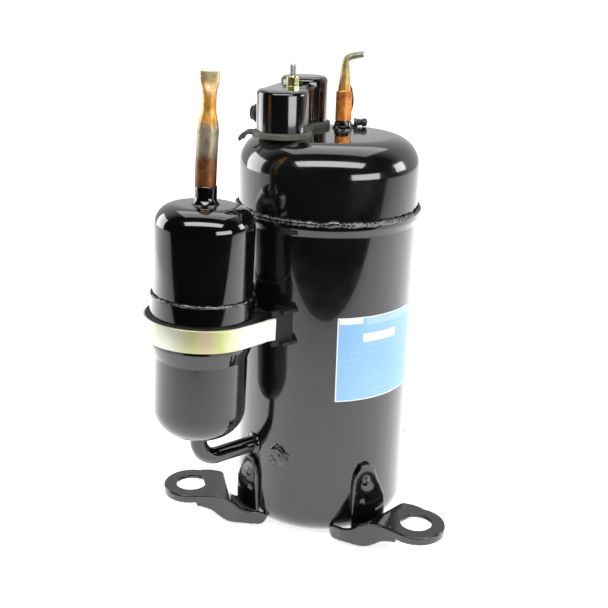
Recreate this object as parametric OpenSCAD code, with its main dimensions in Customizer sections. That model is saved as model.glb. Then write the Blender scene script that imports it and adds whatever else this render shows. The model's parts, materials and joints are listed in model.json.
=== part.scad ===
// Hermetic rotary refrigeration compressor with its suction accumulator.
// Origin: centre of the three foot holes, on the underside of the foot pads.
// +Z is up along the shell's axis, and the accumulator hangs on the -X side.

/* [Shell] */
// Outside diameter of the main shell
shell_d = 116; // [114:1:118]
// Sheet thickness of the shell and the cap
shell_wall = 3; // [2.5:0.1:3.2]
// Height of the shell's flat bottom, below the foot pads
shell_bottom = -17; // [-18:1:-15]
// Outside radius of the shell's bottom corner
bottom_corner = 18; // [14:1:20]
// Height of the cap's flat crown
crown_z = 244; // [242:1:246]
// Outside radius of the cap's shoulder
cap_corner = 20; // [18:1:22]

/* [Feet] */
// Diameter of the circle through the three foot holes
foot_pcd = 182.6; // [180:0.2:186]
// Radius of a foot hole
foot_hole_r = 10; // [9:0.25:10.5]
// Outside radius of a foot pad
pad_r = 19; // [18:0.5:20]
// Sheet thickness of the feet
foot_t = 3; // [2.5:0.1:3.5]

/* [Accumulator] */
// Distance of the accumulator's axis from the shell's axis, at the seam
acc_x = 96.5; // [96:0.5:100]
// Height of the accumulator's seam
acc_z = 154; // [152:1:156]
// How far the accumulator leans towards the shell, in degrees
acc_lean = 2.5; // [1:0.5:3]
// Outside radius of the accumulator's upper shell
acc_r = 30.3; // [29:0.1:31]
// Outside radius of the accumulator's lower shell
acc_low_r = 28.9; // [28:0.1:29.5]
// Radius of the copper suction tube
suction_r = 6.35; // [6.2:0.05:6.6]

/* [Terminal cover] */
// Distance between the cover's two lobes
lobe_spacing = 52.6; // [50:0.2:54]
// Radius of the cover's lobes
lobe_r = 16; // [15:0.25:16.5]
// Height of the cover's lower lobe
lobe_h = 26; // [24:0.5:28]
// Radius of the cover's stud
stud_r = 2; // [2:0.25:2.5]

/* [Pump] */
// Radius of the cylinder's bore
bore_r = 24; // [24:0.5:24.5]
// Height of the cylinder
cylinder_h = 22; // [20:1:24]
// Outside radius of the rolling piston
roller_r = 19.9; // [19.5:0.1:19.9]
// Offset of the crankshaft's eccentric
throw = 4; // [3.6:0.1:4]
// Radius of the crankshaft's main journal
journal_r = 8; // [7.5:0.1:8.5]

/* [Hidden] */

$fn = 96;
shell_r = shell_d / 2;
bore_shell_r = shell_r - shell_wall;
fit = 0.05;

// Heights of the flared rim that takes the cap
rim_low = 187;
rim_top = 198;
rim_r = shell_r + 2.4;
ledge_z = 190;

// Foot holes, and the turn of each foot's tab away from its hole
foot_r = foot_pcd / 2;
left_az = 155;
front_az = 275;
rear_az = 35;
left_turn = 19.5;
front_turn = 9.8;
rear_turn = 15;
tab_top = 37;
left_tab_top = 33.4;
valley_z = -9;
web_low = -15.5;

// Accumulator, in its own leaning frame with the seam at z = 0
acc_wall = 1.6;
acc_top = 55;
acc_bottom = -92;
acc_corner = 13;
acc_low_corner = 19;
mouth_r = acc_r + acc_wall;
strap_low = -26.5;
strap_h = 14;
strap_t = 1.5;
strap_r = 36;
pipe_r = 5.5;
pipe_bend = 14.6;
port_z = 42;

// Terminal cover, in a frame whose +X points outwards from the shell's axis
cover_az = 127.5;
cover_x = 24.7;
gasket_t = 2.5;
gasket_lip = 2.6;
cover_z = crown_z + gasket_t;
cover_wall = 1.8;
high_lobe_h = lobe_h + 4;
web_out = 15.2;
neck_in = 9;
stud_y = 3.5;
nut_seat_z = 270.3;
lobe_y = lobe_spacing / 2;

// Discharge tube
dis_x = 20.4;
dis_y = 11.9;
dis_r = 5.25;
dis_stub_r = 4.8;

// Pump stack, from the bottom
cyl_z = port_z - cylinder_h / 2;
cyl_top = port_z + cylinder_h / 2;
sub_z = cyl_z - 5;
main_top = cyl_top + 5;
hub_top = 88;
vane_az = 155;
weld_az = vane_az + 47.5;
vane_t = 3.2;
vane_l = 20;
port_az = vane_az - 17;
bolt_circle = 35.4;
flange_r = 40;
bolt_r = 2.5;
crank_az = vane_az - 90;
tail_r = 7;
motor_z = 102;
motor_h = 50;
stator_r = bore_shell_r - fit;
rotor_r = 30.8;
air_gap = 0.5;
slots = 24;
rotor_bore = 9;

module ring(r_out, r_in, h) {
    difference() {
        cylinder(r = r_out, h = h);
        translate([0, 0, -1]) cylinder(r = r_in, h = h + 2);
    }
}

// A closed pot's half section: radius, height and a rounded top corner
module pot_section(r, h, corner) {
    square([r - corner, h]);
    square([r, h - corner]);
    translate([r - corner, h - corner]) circle(r = corner);
}

module pot(r, h, corner) {
    rotate_extrude() intersection() {
        pot_section(r, h, corner);
        square([r + 1, h + 1]);
    }
}

module at(az, r = 0, z = 0) {
    rotate([0, 0, az]) translate([r, 0, z]) children();
}

// A tube of round section swept along a list of points
function unit(v) = v / norm(v);
function path_dir(p, i) = unit(p[min(i + 1, len(p) - 1)] - p[max(i - 1, 0)]);
function side_of(d) = unit(cross(d, abs(d.z) > 0.9 ? [1, 0, 0] : [0, 0, 1]));
function sweep_ring(c, d, r, n) = let (u = side_of(d), v = cross(d, u))
    [for (k = [0:n - 1]) c + r * (cos(360 * k / n) * u + sin(360 * k / n) * v)];
module sweep(p, r, n) {
    m = len(p);
    points = [for (i = [0:m - 1]) each sweep_ring(p[i], path_dir(p, i), r, n)];
    sides = [for (i = [0:m - 2], k = [0:n - 1])
        [i * n + k, i * n + (k + 1) % n, (i + 1) * n + (k + 1) % n, (i + 1) * n + k]];
    first = [for (k = [0:n - 1]) n - 1 - k];
    last = [for (k = [0:n - 1]) (m - 1) * n + k];
    polyhedron(points = points, faces = concat([first], sides, [last]));
}

// ---- Shell ----

module shell_outline() {
    difference() {
        union() {
            translate([0, shell_bottom]) mirror([0, 1]) translate([0, shell_bottom - rim_low])
                intersection() {
                    pot_section(shell_r, rim_low - shell_bottom, bottom_corner);
                    square([shell_r + 1, rim_low - shell_bottom + 1]);
                }
            polygon([[0, rim_low - 1], [shell_r, rim_low - 1], [shell_r, rim_low], [rim_r, rim_low + 3],
                [rim_r, rim_top], [0, rim_top]]);
        }
        translate([0, shell_bottom + shell_wall]) mirror([0, 1])
            translate([0, -(rim_low - shell_bottom - shell_wall + 1)]) intersection() {
                pot_section(bore_shell_r, rim_low - shell_bottom - shell_wall + 1,
                    bottom_corner - shell_wall);
                square([shell_r, rim_low - shell_bottom]);
            }
        polygon([[-1, rim_low], [bore_shell_r, rim_low], [bore_shell_r, ledge_z - 1],
            [shell_r + fit, ledge_z], [shell_r + fit, rim_top + 1], [-1, rim_top + 1]]);
    }
}

module lower_shell() {
    color("#1b1c1e") difference() {
        rotate_extrude() shell_outline();
        for (k = [0:2]) at(weld_az + 120 * k, 50, port_z)
            rotate([0, 90, 0]) cylinder(r = 6, h = 12);
        at(180, 50, port_z) rotate([0, 90, 0]) cylinder(r = pipe_r + fit, h = 12);
    }
}

module seat_block(low, high, shrink) {
    translate([0, 0, low]) linear_extrude(high - low) cover_outline(-1 - shrink);
}

module top_cap() {
    color("#1b1c1e") difference() {
        union() {
            translate([0, 0, ledge_z + fit]) pot(shell_r, crown_z - ledge_z - fit, cap_corner);
            at(cover_az, cover_x) seat_block(crown_z - 12, crown_z, 0);
        }
        translate([0, 0, ledge_z - 1])
            pot(bore_shell_r, crown_z - shell_wall - ledge_z + 1, cap_corner - shell_wall);
        at(cover_az, cover_x) seat_block(crown_z - 14, crown_z - shell_wall, shell_wall);
        translate([dis_x, dis_y, crown_z - 10]) cylinder(r = dis_stub_r + fit, h = 20);
        at(cover_az, cover_x) translate([0, -lobe_y, crown_z - 10]) cylinder(r = 11, h = 20);
    }
}

module seam_weld() {
    color("#6a6c70") rotate_extrude() polygon([[shell_r + 0.01, rim_top + 0.01], [rim_r, rim_top + 0.01],
        [rim_r - 0.2, rim_top + 0.9], [rim_r - 1, rim_top + 1.5], [shell_r + 0.01, rim_top + 1.9]]);
}

module plug_welds() {
    color("#2c2d30") for (k = [0:2]) at(weld_az + 120 * k, 0, port_z)
        intersection() {
            translate([stator_r + 0.1, 0, 0]) rotate([0, 90, 0]) cylinder(r = 5.95, h = 6);
            translate([44.3, 0, 0]) sphere(r = 15.2);
        }
}

// ---- Feet ----

// A foot in its own frame: +X runs out through the hole, and the tab is turned to +Y
// Upright tab, curved to the shell, as a plan in its own plane: steep on one side, raked on the other
function tab_plan(high) = [[13.3, valley_z], [13.3, high - 13], [12.2, high - 7], [8.2, high - 1.2],
    [3.2, high], [-2.4, high - 4.2], [-6.7, high - 14.7], [-12.5, high - 26.5], [-13.6, valley_z]];

module foot_sheet(turn, high) {
    inner = shell_r + 0.1;
    // pad round the hole, with a down-turned rim, and the plate towards the shell
    translate([foot_r, 0, 0]) ring(pad_r - 0.4, foot_hole_r, foot_t);
    translate([foot_r, 0, -2.8]) intersection() {
        ring(pad_r, pad_r - foot_t, 4.3);
        translate([-6, -30, -1]) cube([40, 60, 10]);
    }
    translate([0, 0, 0.2]) linear_extrude(foot_t - 0.4) difference() {
        polygon([[66.8, -12.5], [75, -16.6], [84, -18.2], [foot_r, -14], [foot_r, 14], [84, 19.2],
            [75, 20], [67.2, 16]]);
        translate([foot_r, 0]) circle(r = foot_hole_r + 1);
    }
    rotate([0, 0, turn]) intersection() {
        translate([0, 0, valley_z]) ring(inner + foot_t, inner, 60);
        rotate([90, 0, 90]) linear_extrude(80) polygon(tab_plan(high));
    }
    // valley between the tab's foot and the plate
    translate([0, 27, 0]) rotate([90, 0, 0]) linear_extrude(37) polygon([[50, valley_z + 0.4],
        [62, valley_z - 2], [67, -3.5], [70, 0.6], [70, 2.4], [66, 2.4], [62, -6], [50, -4.5]]);
    foot_web();
}

// Web: the plate's front edge turned down, and carried under the shell
module foot_web() {
    intersection() {
        translate([0, 0, web_low - 1]) linear_extrude(4 - web_low) polygon([
            [foot_r - 3, pad_r - 1], [foot_r - 8, pad_r], [foot_r - 16, pad_r + 3],
            [foot_r - 23, pad_r + 8], [foot_r - 29, pad_r + 13], [foot_r - 37, pad_r + 15],
            [foot_r - 46, pad_r + 13], [foot_r - 46, pad_r + 10], [foot_r - 37, pad_r + 12],
            [foot_r - 30, pad_r + 10], [foot_r - 25, pad_r + 5], [foot_r - 17, pad_r],
            [foot_r - 8, pad_r - 4], [foot_r - 3, pad_r - 4]]);
        translate([0, 80, 0]) rotate([90, 0, 0]) linear_extrude(120) polygon([
            [foot_r + 5, 2.5], [foot_r - 21, 2.6], [foot_r - 25, 0.2], [foot_r - 29, -2.6],
            [foot_r - 34, -4.3], [foot_r - 44, -6.5], [foot_r - 50, -11], [foot_r - 50, web_low],
            [foot_r - 36, web_low + 1.4], [foot_r - 21, web_low + 0.9], [foot_r - 17, -12.6],
            [foot_r - 12, -9], [foot_r - 8, -7.2], [foot_r + 5, -1.6]]);
    }
}

module foot(az, hand, turn, high) {
    color("#202123") difference() {
        rotate([0, 0, az]) mirror([0, hand < 0 ? 1 : 0, 0]) foot_sheet(turn, high);
        translate([0, 0, shell_bottom]) mirror([0, 0, 1]) translate([0, 0, -60])
            pot(shell_r + 0.02, 60.02, bottom_corner);
    }
}
module left_foot() foot(left_az, 1, left_turn, left_tab_top);
module front_foot() foot(front_az, -1, front_turn, tab_top);
module rear_foot() foot(rear_az, 1, rear_turn, tab_top);

// ---- Accumulator ----

module in_accumulator() {
    translate([-acc_x, 0, acc_z]) rotate([0, acc_lean, 0]) children();
}

module accumulator_upper_shell() {
    low = -13;
    color("#18191b") in_accumulator() difference() {
        translate([0, 0, low]) pot(acc_r, acc_top - low, acc_corner);
        translate([0, 0, low - 1]) pot(acc_r - acc_wall, acc_top - low + 1 - acc_wall, acc_corner - acc_wall);
        cylinder(r = suction_r + 0.3, h = 80);
    }
}

module accumulator_lower_shell() {
    flare = -31;
    color("#18191b") in_accumulator() difference() {
        union() {
            translate([0, 0, acc_bottom]) mirror([0, 0, 1]) translate([0, 0, acc_bottom - flare])
                pot(acc_low_r, flare - acc_bottom, acc_low_corner);
            translate([0, 0, flare - 6]) cylinder(r1 = acc_low_r, r2 = mouth_r, h = 6.01);
            translate([0, 0, flare]) cylinder(r = mouth_r, h = -flare);
        }
        translate([0, 0, acc_bottom]) mirror([0, 0, 1]) translate([0, 0, acc_bottom - flare])
            translate([0, 0, -1]) pot(acc_low_r - acc_wall, flare - acc_bottom + 1 - acc_wall,
                acc_low_corner - acc_wall);
        translate([0, 0, -14]) cylinder(r = acc_r + fit, h = 20);
        translate([0, 0, flare - 1]) cylinder(r = acc_r - acc_wall, h = 30);
        translate([0, 0, acc_bottom - 1]) cylinder(r = pipe_r + fit, h = 10);
    }
}

module accumulator_weld() {
    color("#3a3b3e") in_accumulator() rotate_extrude() polygon([[acc_r + 0.02, 0.01], [mouth_r - 0.1, 0.01],
        [mouth_r - 0.3, 0.8], [acc_r + 0.9, 1.3], [acc_r + 0.02, 1.5]]);
}

module accumulator_strainer() {
    color("#b9b4a4") in_accumulator() translate([0, 0, 30]) difference() {
        cylinder(r = acc_r - acc_wall - fit, h = 1);
        for (a = [0:30:330], r = [12, 20]) at(a, r, -1) cylinder(r = 2.2, h = 3);
        translate([0, 0, -1]) cylinder(r = 3, h = 3);
    }
}

module accumulator_baffle() {
    color("#8d8f92") in_accumulator() translate([0, 0, 20]) difference() {
        cylinder(r = acc_r - acc_wall - fit, h = 1.2);
        for (a = [45:90:315]) at(a, 21, -1) cylinder(r = 5, h = 4);
    }
}

module accumulator_outlet_pipe() {
    lap = 0.5;
    riser_top = 10;
    turn = 90 + acc_lean;
    drop_x = -acc_x + acc_bottom * sin(acc_lean);
    drop_z = acc_z + acc_bottom * cos(acc_lean);
    elbow_x = drop_x + pipe_bend * cos(acc_lean);
    stub = (drop_z - pipe_bend * (1 + sin(acc_lean)) - port_z) / cos(acc_lean);
    bend_x = elbow_x - stub * sin(acc_lean);
    color("#1d1e20") difference() {
        union() {
            in_accumulator() translate([0, 0, acc_bottom - stub - lap])
                cylinder(r = pipe_r, h = riser_top - acc_bottom + stub + lap);
            translate([bend_x, 0, port_z + pipe_bend]) rotate([90, 0, 0]) rotate([0, 0, 180 - acc_lean])
                rotate_extrude(angle = turn) translate([pipe_bend, 0]) circle(r = pipe_r + 0.05);
            translate([bend_x - lap, 0, port_z]) rotate([0, 90, 0])
                cylinder(r = pipe_r, h = lap - bend_x - stator_r + 9);
        }
        in_accumulator() translate([0, 0, acc_bottom - stub - lap]) cylinder(r = pipe_r - 1, h = 120);
        translate([bend_x, 0, port_z + pipe_bend]) rotate([90, 0, 0]) rotate([0, 0, 180 - acc_lean])
            rotate_extrude(angle = turn) translate([pipe_bend, 0]) circle(r = pipe_r - 0.9);
        translate([bend_x - lap, 0, port_z]) rotate([0, 90, 0]) cylinder(r = pipe_r - 1, h = 60);
    }
}

module suction_stub() {
    color("#18191b") in_accumulator() translate([0, 0, acc_top - 8])
        ring(suction_r + 0.25, suction_r - 0.36, 19);
}

module suction_tube() {
    color("#b87333") in_accumulator() difference() {
        union() {
            translate([0, 0, acc_top - 10]) cylinder(r = suction_r - 0.4, h = 22);
            translate([0, 0, acc_top + 11.1]) cylinder(r = suction_r, h = 35.9);
            translate([0, 0, acc_top + 47]) cylinder(r1 = suction_r, r2 = 4.3, h = 8);
            translate([0, 0, acc_top + 54.9]) cylinder(r = 4.3, h = 13);
            rotate([0, 0, clip_az]) translate([-5.8, -1.7, acc_top + 65]) cube([11.6, 3.4, 11.5]);
        }
        translate([0, 0, acc_top - 11]) cylinder(r = suction_r - 0.8, h = 58);
    }
}

module inlet_collar() {
    color("#1d1e20") translate([0, 0, port_z]) difference() {
        rotate([0, -90, 0]) {
            translate([0, 0, 50]) cylinder(r = pipe_r + 2.2, h = shell_r + 0.8 - 50);
            translate([0, 0, shell_r + 0.75]) cylinder(r1 = pipe_r + 2.2, r2 = pipe_r + 0.8, h = 1.8);
        }
        rotate([0, -90, 0]) cylinder(r = pipe_r + fit, h = 80);
        translate([0, 0, -30]) cylinder(r = shell_r + 0.02, h = 60);
    }
}

// Channel bracket that ties the strap to the shell: half-width over its flanges
bracket_y = 29.5;
bracket_low = 121.5;
bracket_h = 22.5;

module accumulator_bracket() {
    t = 2.5;
    tip = 66;
    color("#1b1c1e") translate([0, 0, bracket_low]) difference() {
        union() {
            intersection() {
                cylinder(r = shell_r + t, h = bracket_h);
                translate([-tip, -bracket_y, 0]) cube([30, 2 * bracket_y, bracket_h]);
            }
            for (s = [0, 1]) mirror([0, s, 0]) {
                translate([-tip, bracket_y - t, 0]) cube([24, t, bracket_h]);
                for (z = [0, bracket_h - 2]) translate([-59.5, bracket_y - t, z]) cube([12, t + 3, 2]);
            }
        }
        translate([0, 0, -1]) cylinder(r = shell_r + 0.02, h = bracket_h + 2);
        for (z = [-9, bracket_h - 6]) translate([-70, -20, z]) cube([20, 40, 15]);
    }
}

// Where the strap leaves its round: the tangent from the flange end
strap_end = [27, -(bracket_y + strap_t)];
strap_tip = 33.5;
strap_reach = norm(strap_end);
strap_leave = -atan2(-strap_end.y, strap_end.x) - acos(strap_r / strap_reach);

module strap_plan() {
    root = [cos(strap_leave - 4), sin(strap_leave - 4)];
    leave = [cos(strap_leave), sin(strap_leave)];
    difference() {
        circle(r = strap_r);
        circle(r = strap_r - strap_t);
        polygon([[0, 0], 80 * leave, [90, 0], [80 * leave.x, -80 * leave.y]]);
    }
    for (s = [0, 1]) mirror([0, s]) polygon([(strap_r - 0.3) * root, (strap_r - 0.01) * leave,
        strap_end, [strap_tip, strap_end.y],
        [strap_tip, strap_end.y + strap_t], [strap_end.x, strap_end.y + strap_t],
        (strap_r - strap_t + 0.01) * leave, (strap_r - strap_t + 0.3) * root]);
}

module accumulator_strap() {
    color("#dfe0c0") in_accumulator() translate([0, 0, strap_low]) linear_extrude(strap_h) strap_plan();
}

module strap_liner() {
    color("#101010") in_accumulator() translate([0, 0, strap_low - 0.5]) difference() {
        ring(strap_r - strap_t - fit, mouth_r + fit, strap_h + 1);
        translate([0, 0, -1]) linear_extrude(30) polygon([[0, 0], [90, -70], [90, 70]]);
    }
}

// ---- Discharge tube ----

module discharge_stub() {
    color("#151515") translate([dis_x, dis_y, crown_z - 8]) ring(dis_stub_r, dis_stub_r - 1, 24);
    color("#151515") translate([dis_x, dis_y, crown_z + 0.02]) ring(dis_stub_r + 1.6, dis_stub_r - 0.5, 1.6);
}

module discharge_tube() {
    base = crown_z + 5.6;
    color("#b87333") translate([dis_x, dis_y, 0]) difference() {
        union() {
            translate([0, 0, base]) cylinder(r = dis_r, h = 18);
            translate([0, 0, base + 18]) cylinder(r1 = dis_r, r2 = 4, h = 1.5);
            translate([0, 0, base + 19.5]) cylinder(r1 = 4, r2 = 1.9, h = 17);
            translate([0, 0, base + 36]) sphere(r = 2.3);
            translate([0, 0, base + 36]) rotate([0, 60, clip_az]) cylinder(r = 1.9, h = 13);
        }
        translate([0, 0, base - 1]) cylinder(r = dis_stub_r + 0.02, h = 12);
    }
}

// ---- Terminal cover and what is under it ----

module in_cover() {
    at(cover_az, cover_x) children();
}

// Plan of the cover, grown by g: two lobes joined by a web with a notch inside
module cover_outline(g) {
    translate([0, lobe_y]) circle(r = lobe_r + g);
    translate([0, -lobe_y]) circle(r = lobe_r - 0.5 + g);
    translate([-neck_in - g, -lobe_y]) square([neck_in + web_out + 2 * g, lobe_spacing]);
}

module cover_body(inset) {
    corner = 4 - inset;
    translate([0, lobe_y, 0]) pot(lobe_r - inset, lobe_h - inset, corner);
    translate([0, -lobe_y, 0]) pot(lobe_r - 0.5 - inset, high_lobe_h - inset, corner);
    translate([-neck_in + inset, -lobe_y, 0])
        cube([neck_in + web_out - 2 * inset, lobe_spacing, lobe_h - inset]);
}

module terminal_cover() {
    color("#0c0c0e") in_cover() translate([0, 0, cover_z]) difference() {
        union() {
            difference() {
                cover_body(0);
                translate([0, 0, -1]) cover_body(cover_wall);
                translate([0, 0, -1]) linear_extrude(2) cover_outline(-cover_wall);
            }
            translate([0, stud_y, 1]) cylinder(r = 6.5, h = lobe_h - 2);
        }
        translate([0, stud_y, nut_seat_z - cover_z]) cylinder(r = 6, h = 20);
        translate([0, stud_y, -5]) cylinder(r = stud_r + 0.3, h = 60);
        translate([10, 12, 9]) rotate([0, 90, 0]) cylinder(r = 3.6, h = 20);
    }
}

module lead_boot() {
    color("#0b0b0b") in_cover() translate([0, 12, cover_z + 9]) rotate([0, 90, 0]) {
        translate([0, 0, web_out - 4]) cylinder(r = 3.5, h = 5);
        translate([0, 0, web_out + 0.1]) cylinder(r = 6, h = 6);
        translate([0, 0, web_out + 6.05]) cylinder(r1 = 6, r2 = 4, h = 3);
    }
}

module cover_gasket() {
    color("#4a4d46") in_cover() translate([0, 0, crown_z + 0.02]) {
        difference() {
            linear_extrude(gasket_t + 1.3) cover_outline(gasket_lip);
            translate([0, 0, gasket_t - 0.05]) linear_extrude(5) cover_outline(0.3);
            translate([0, lobe_y, -1]) cylinder(r = 13, h = 9);
            translate([0, -lobe_y, -1]) cylinder(r = 13.4, h = 9);
            translate([0, stud_y, -1]) cylinder(r = stud_r + 0.3, h = 9);
        }
        // forked tail of the gasket
        translate([0, lobe_y, 0]) rotate([0, 0, 14]) for (s = [-1, 1])
            translate([lobe_r + gasket_lip - 1, s * 2.6 - 1.2, 0.6]) rotate([0, 22, s * 12]) cube([9, 2.4, 1.8]);
    }
}

module cover_stud() {
    color("#55585a") in_cover() translate([0, stud_y, crown_z + 0.02]) {
        cylinder(r = stud_r, h = 285.7 - crown_z - 0.02 - 0.8);
        translate([0, 0, 285.7 - crown_z - 0.83]) cylinder(r1 = stud_r, r2 = stud_r - 0.7, h = 0.8);
    }
}

module cover_washer() {
    color("#c9c56a") in_cover() translate([0, stud_y, nut_seat_z + 0.02]) ring(4.8, stud_r + 0.25, 1);
}

module cover_nut() {
    color("#c9c56a") in_cover() translate([0, stud_y, nut_seat_z + 1.04]) difference() {
        union() {
            cylinder(r1 = 4.7, r2 = 4.1, h = 1.4);
            cylinder(r = 4.15, h = 7.2, $fn = 6);
        }
        translate([0, 0, -1]) cylinder(r = stud_r + fit, h = 12);
    }
}

module overload_protector() {
    color("#17181c") in_cover() translate([0, lobe_y, crown_z + 0.05]) {
        pot(12.4, 15, 1.5);
        for (s = [-1, 1]) translate([-0.4, s * 5 - 3, 14.9]) cube([0.8, 6, 6]);
    }
}

module terminal_body() {
    color("#9a9c9f") in_cover() translate([0, -lobe_y, crown_z]) difference() {
        union() {
            translate([0, 0, -6]) cylinder(r = 10.95, h = 6.5);
            translate([0, 0, 0.05]) cylinder(r = 13, h = 1.6);
        }
        translate([0, 0, -8]) cylinder(r = 9.4, h = 6.2);
        for (a = [90:120:330]) at(a, 5.6, -10) cylinder(r = 2.6, h = 20);
    }
}

module terminal_glass() {
    color("#3d6b8f") in_cover() translate([0, -lobe_y, crown_z])
        for (a = [90:120:330]) at(a, 5.6, -2.4) ring(2.58, 1.22, 4.4);
}

module terminal_pins() {
    color("#b8b0a0") in_cover() translate([0, -lobe_y, crown_z])
        for (a = [90:120:330]) at(a, 5.6, -15) cylinder(r = 1.2, h = 28);
}

module lead_connector() {
    color("#e8e4d8") in_cover() translate([0, -lobe_y, crown_z - 14]) difference() {
        pot(9, 8, 1);
        for (a = [90:120:330]) at(a, 5.6, -2) cylinder(r = 1.25, h = 20);
    }
}

// Three leads run from the windings up to the connector, inside the shell
lead_foot = [[8, 42, 168.6], [-8, 42, 168.6], [0, 46, 168.6]];

module lead_wires() {
    plug = [cover_x * cos(cover_az) + lobe_y * sin(cover_az),
        cover_x * sin(cover_az) - lobe_y * cos(cover_az), crown_z - 14.05];
    for (k = [0:2]) {
        a = lead_foot[k];
        b = plug + 5 * [cos(120 * k), sin(120 * k), 0];
        color(["#a02020", "#e0e0e0", "#202020"][k])
            sweep([a, a + [0, 0, 10], a + [-4, -6, 22], (a + b) / 2 + [-8, -8, 0],
                b + [-5, -6, -20], b + [0, 0, -9], b], 1.1, 8);
    }
}

// Clip for the supply leads beside the discharge tube: a foot, an ear and an arched finger
clip_az = -38.6;
arch_r = 24;
arch_mid = 263 - crown_z;

module in_clip() {
    translate([dis_x, dis_y, crown_z + 0.02]) rotate([0, 0, clip_az]) children();
}

module lead_clip() {
    color("#141516") in_clip() {
        translate([1, 6.8, 0]) cube([8.3, 6.2, 1.5]);
        translate([7.5, 6.8, 0.5]) cube([2, 6.2, 5]);
        translate([2.4, 7.2, 1]) cube([2, 3.8, 5.4]);
        translate([7.4 - arch_r, 11, arch_mid]) rotate([90, 0, 0]) linear_extrude(4) difference() {
            circle(r = arch_r);
            circle(r = arch_r - 1.8);
            translate([-30, -30]) square([30 + arch_r * cos(34), 60]);
        }
    }
}

module earth_screw() {
    color("#101112") in_clip() translate([9.52, 9.6, 2.9]) rotate([0, 90, 0]) {
        cylinder(r = 2.2, h = 3);
        translate([0, 0, 2.95]) cylinder(r = 2.7, h = 4.5, $fn = 6);
    }
}

module name_label() {
    color("#7fb0dd") translate([0, 0, 83]) rotate([0, 0, -121.5]) rotate_extrude(angle = 63)
        translate([shell_r + 0.02, 0]) square([0.25, 56]);
}

// ---- Motor ----

module stator_core() {
    color("#7c8086") translate([0, 0, motor_z]) difference() {
        cylinder(r = stator_r, h = motor_h);
        translate([0, 0, -1]) cylinder(r = rotor_r + air_gap, h = motor_h + 2);
        for (k = [0:slots - 1]) at(k * 360 / slots, 0, -1) {
            translate([rotor_r - 1, -0.8, 0]) cube([4, 1.6, motor_h + 2]);
            translate([34, -1.9, 0]) cube([11, 3.8, motor_h + 2]);
        }
        for (k = [0:3]) at(45 + 90 * k, 57.5, -1) translate([-2, -9, 0]) cube([8, 18, motor_h + 2]);
    }
}

module end_winding() {
    rotate_extrude() intersection() {
        union() {
            translate([34.5, 0]) square([14, 12]);
            translate([38.5, 12]) circle(r = 4);
            translate([44.5, 12]) circle(r = 4);
            translate([38.5, 11]) square([6, 5]);
        }
        square([60, 30]);
    }
}

module stator_winding() {
    color("#a5512a") {
        translate([0, 0, motor_z + motor_h + 0.2]) end_winding();
        translate([0, 0, motor_z - 0.2]) mirror([0, 0, 1]) end_winding();
        for (k = [0:slots - 1]) at(k * 360 / slots, 0, motor_z - 1)
            translate([35, -1.7, 0]) cube([9.6, 3.4, motor_h + 2]);
    }
}

module rotor_core() {
    color("#8a8e94") translate([0, 0, motor_z + 1])
        ring(rotor_r, rotor_bore + 0.01, motor_h - 2);
}

module rotor_end_rings() {
    color("#c8cacc") {
        translate([0, 0, motor_z - 5.02]) ring(rotor_r - 0.6, 19, 6);
        translate([0, 0, motor_z + motor_h - 0.98]) ring(rotor_r - 0.6, 19, 6);
    }
}

module half_ring(r_out, r_in, h) {
    difference() {
        ring(r_out, r_in, h);
        translate([-40, -80, -1]) cube([80, 80, h + 2]);
    }
}

module balance_weights() {
    color("#b5a642") {
        rotate([0, 0, crank_az - 90]) translate([0, 0, motor_z - 12.05]) half_ring(29, 20, 7);
        rotate([0, 0, crank_az + 90]) translate([0, 0, motor_z + motor_h + 5.05]) half_ring(29, 20, 7);
    }
}

// ---- Pump ----

module crankshaft() {
    color("#9da1a6") difference() {
        union() {
            translate([0, 0, 2]) cylinder(r = tail_r, h = cyl_z - 2 + 1);
            translate([0, 0, cyl_z]) cylinder(r = tail_r, h = 3);
            translate([0, 0, cyl_top - 3]) cylinder(r = journal_r, h = hub_top - cyl_top + 4);
            translate([0, 0, hub_top + 1]) cylinder(r = rotor_bore, h = 68);
            at(crank_az, throw, cyl_z + 1) cylinder(r = 14.5, h = cylinder_h - 2);
        }
        translate([0, 0, 1]) cylinder(r = 3.5, h = 70);
    }
}

module oil_paddle() {
    color("#c0b080") translate([-3.4, -0.4, 3]) cube([6.8, 0.8, 30]);
}

module rolling_piston() {
    color("#aab0b5") at(crank_az, throw, cyl_z + fit)
        ring(roller_r, 14.55, cylinder_h - 2 * fit);
}

module bolt_holes(z, h, r) {
    for (k = [0:4]) at(k * 72 + 20, bolt_circle, z) cylinder(r = r, h = h);
}

module pump_cylinder() {
    color("#6f7378") difference() {
        translate([0, 0, cyl_z]) cylinder(r = stator_r, h = cylinder_h);
        translate([0, 0, cyl_z - 1]) cylinder(r = bore_r, h = cylinder_h + 2);
        bolt_holes(cyl_z - 1, cylinder_h + 2, bolt_r + 0.1);
        at(vane_az, 20, cyl_z - 1) translate([0, -vane_t / 2, 0]) cube([26.4, vane_t, cylinder_h + 2]);
        at(vane_az, 40, port_z) rotate([0, 90, 0]) cylinder(r = 4, h = 30);
        at(180, 20, port_z) rotate([0, 90, 0]) cylinder(r = pipe_r - 1, h = 40);
        at(180, 45.9, port_z) rotate([0, 90, 0]) cylinder(r = pipe_r + fit, h = 20);
        at(port_az, port_r, cyl_top - 3) cylinder(r = 2.6, h = 8);
        for (a = [60, 110, 240, 300]) at(a, 45, cyl_z - 1) cylinder(r = 5, h = cylinder_h + 2);
    }
}

module main_bearing() {
    color("#777b80") difference() {
        union() {
            translate([0, 0, cyl_top + 0.01]) cylinder(r = flange_r, h = 5);
            translate([0, 0, cyl_top + 1]) cylinder(r = 14, h = hub_top - cyl_top - 1);
        }
        translate([0, 0, cyl_top - 1]) cylinder(r = journal_r + fit, h = 60);
        bolt_holes(cyl_top - 1, 8, bolt_r + 0.1);
        at(port_az, port_r, cyl_top - 1) cylinder(r = 2.6, h = 8);
    }
}

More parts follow.
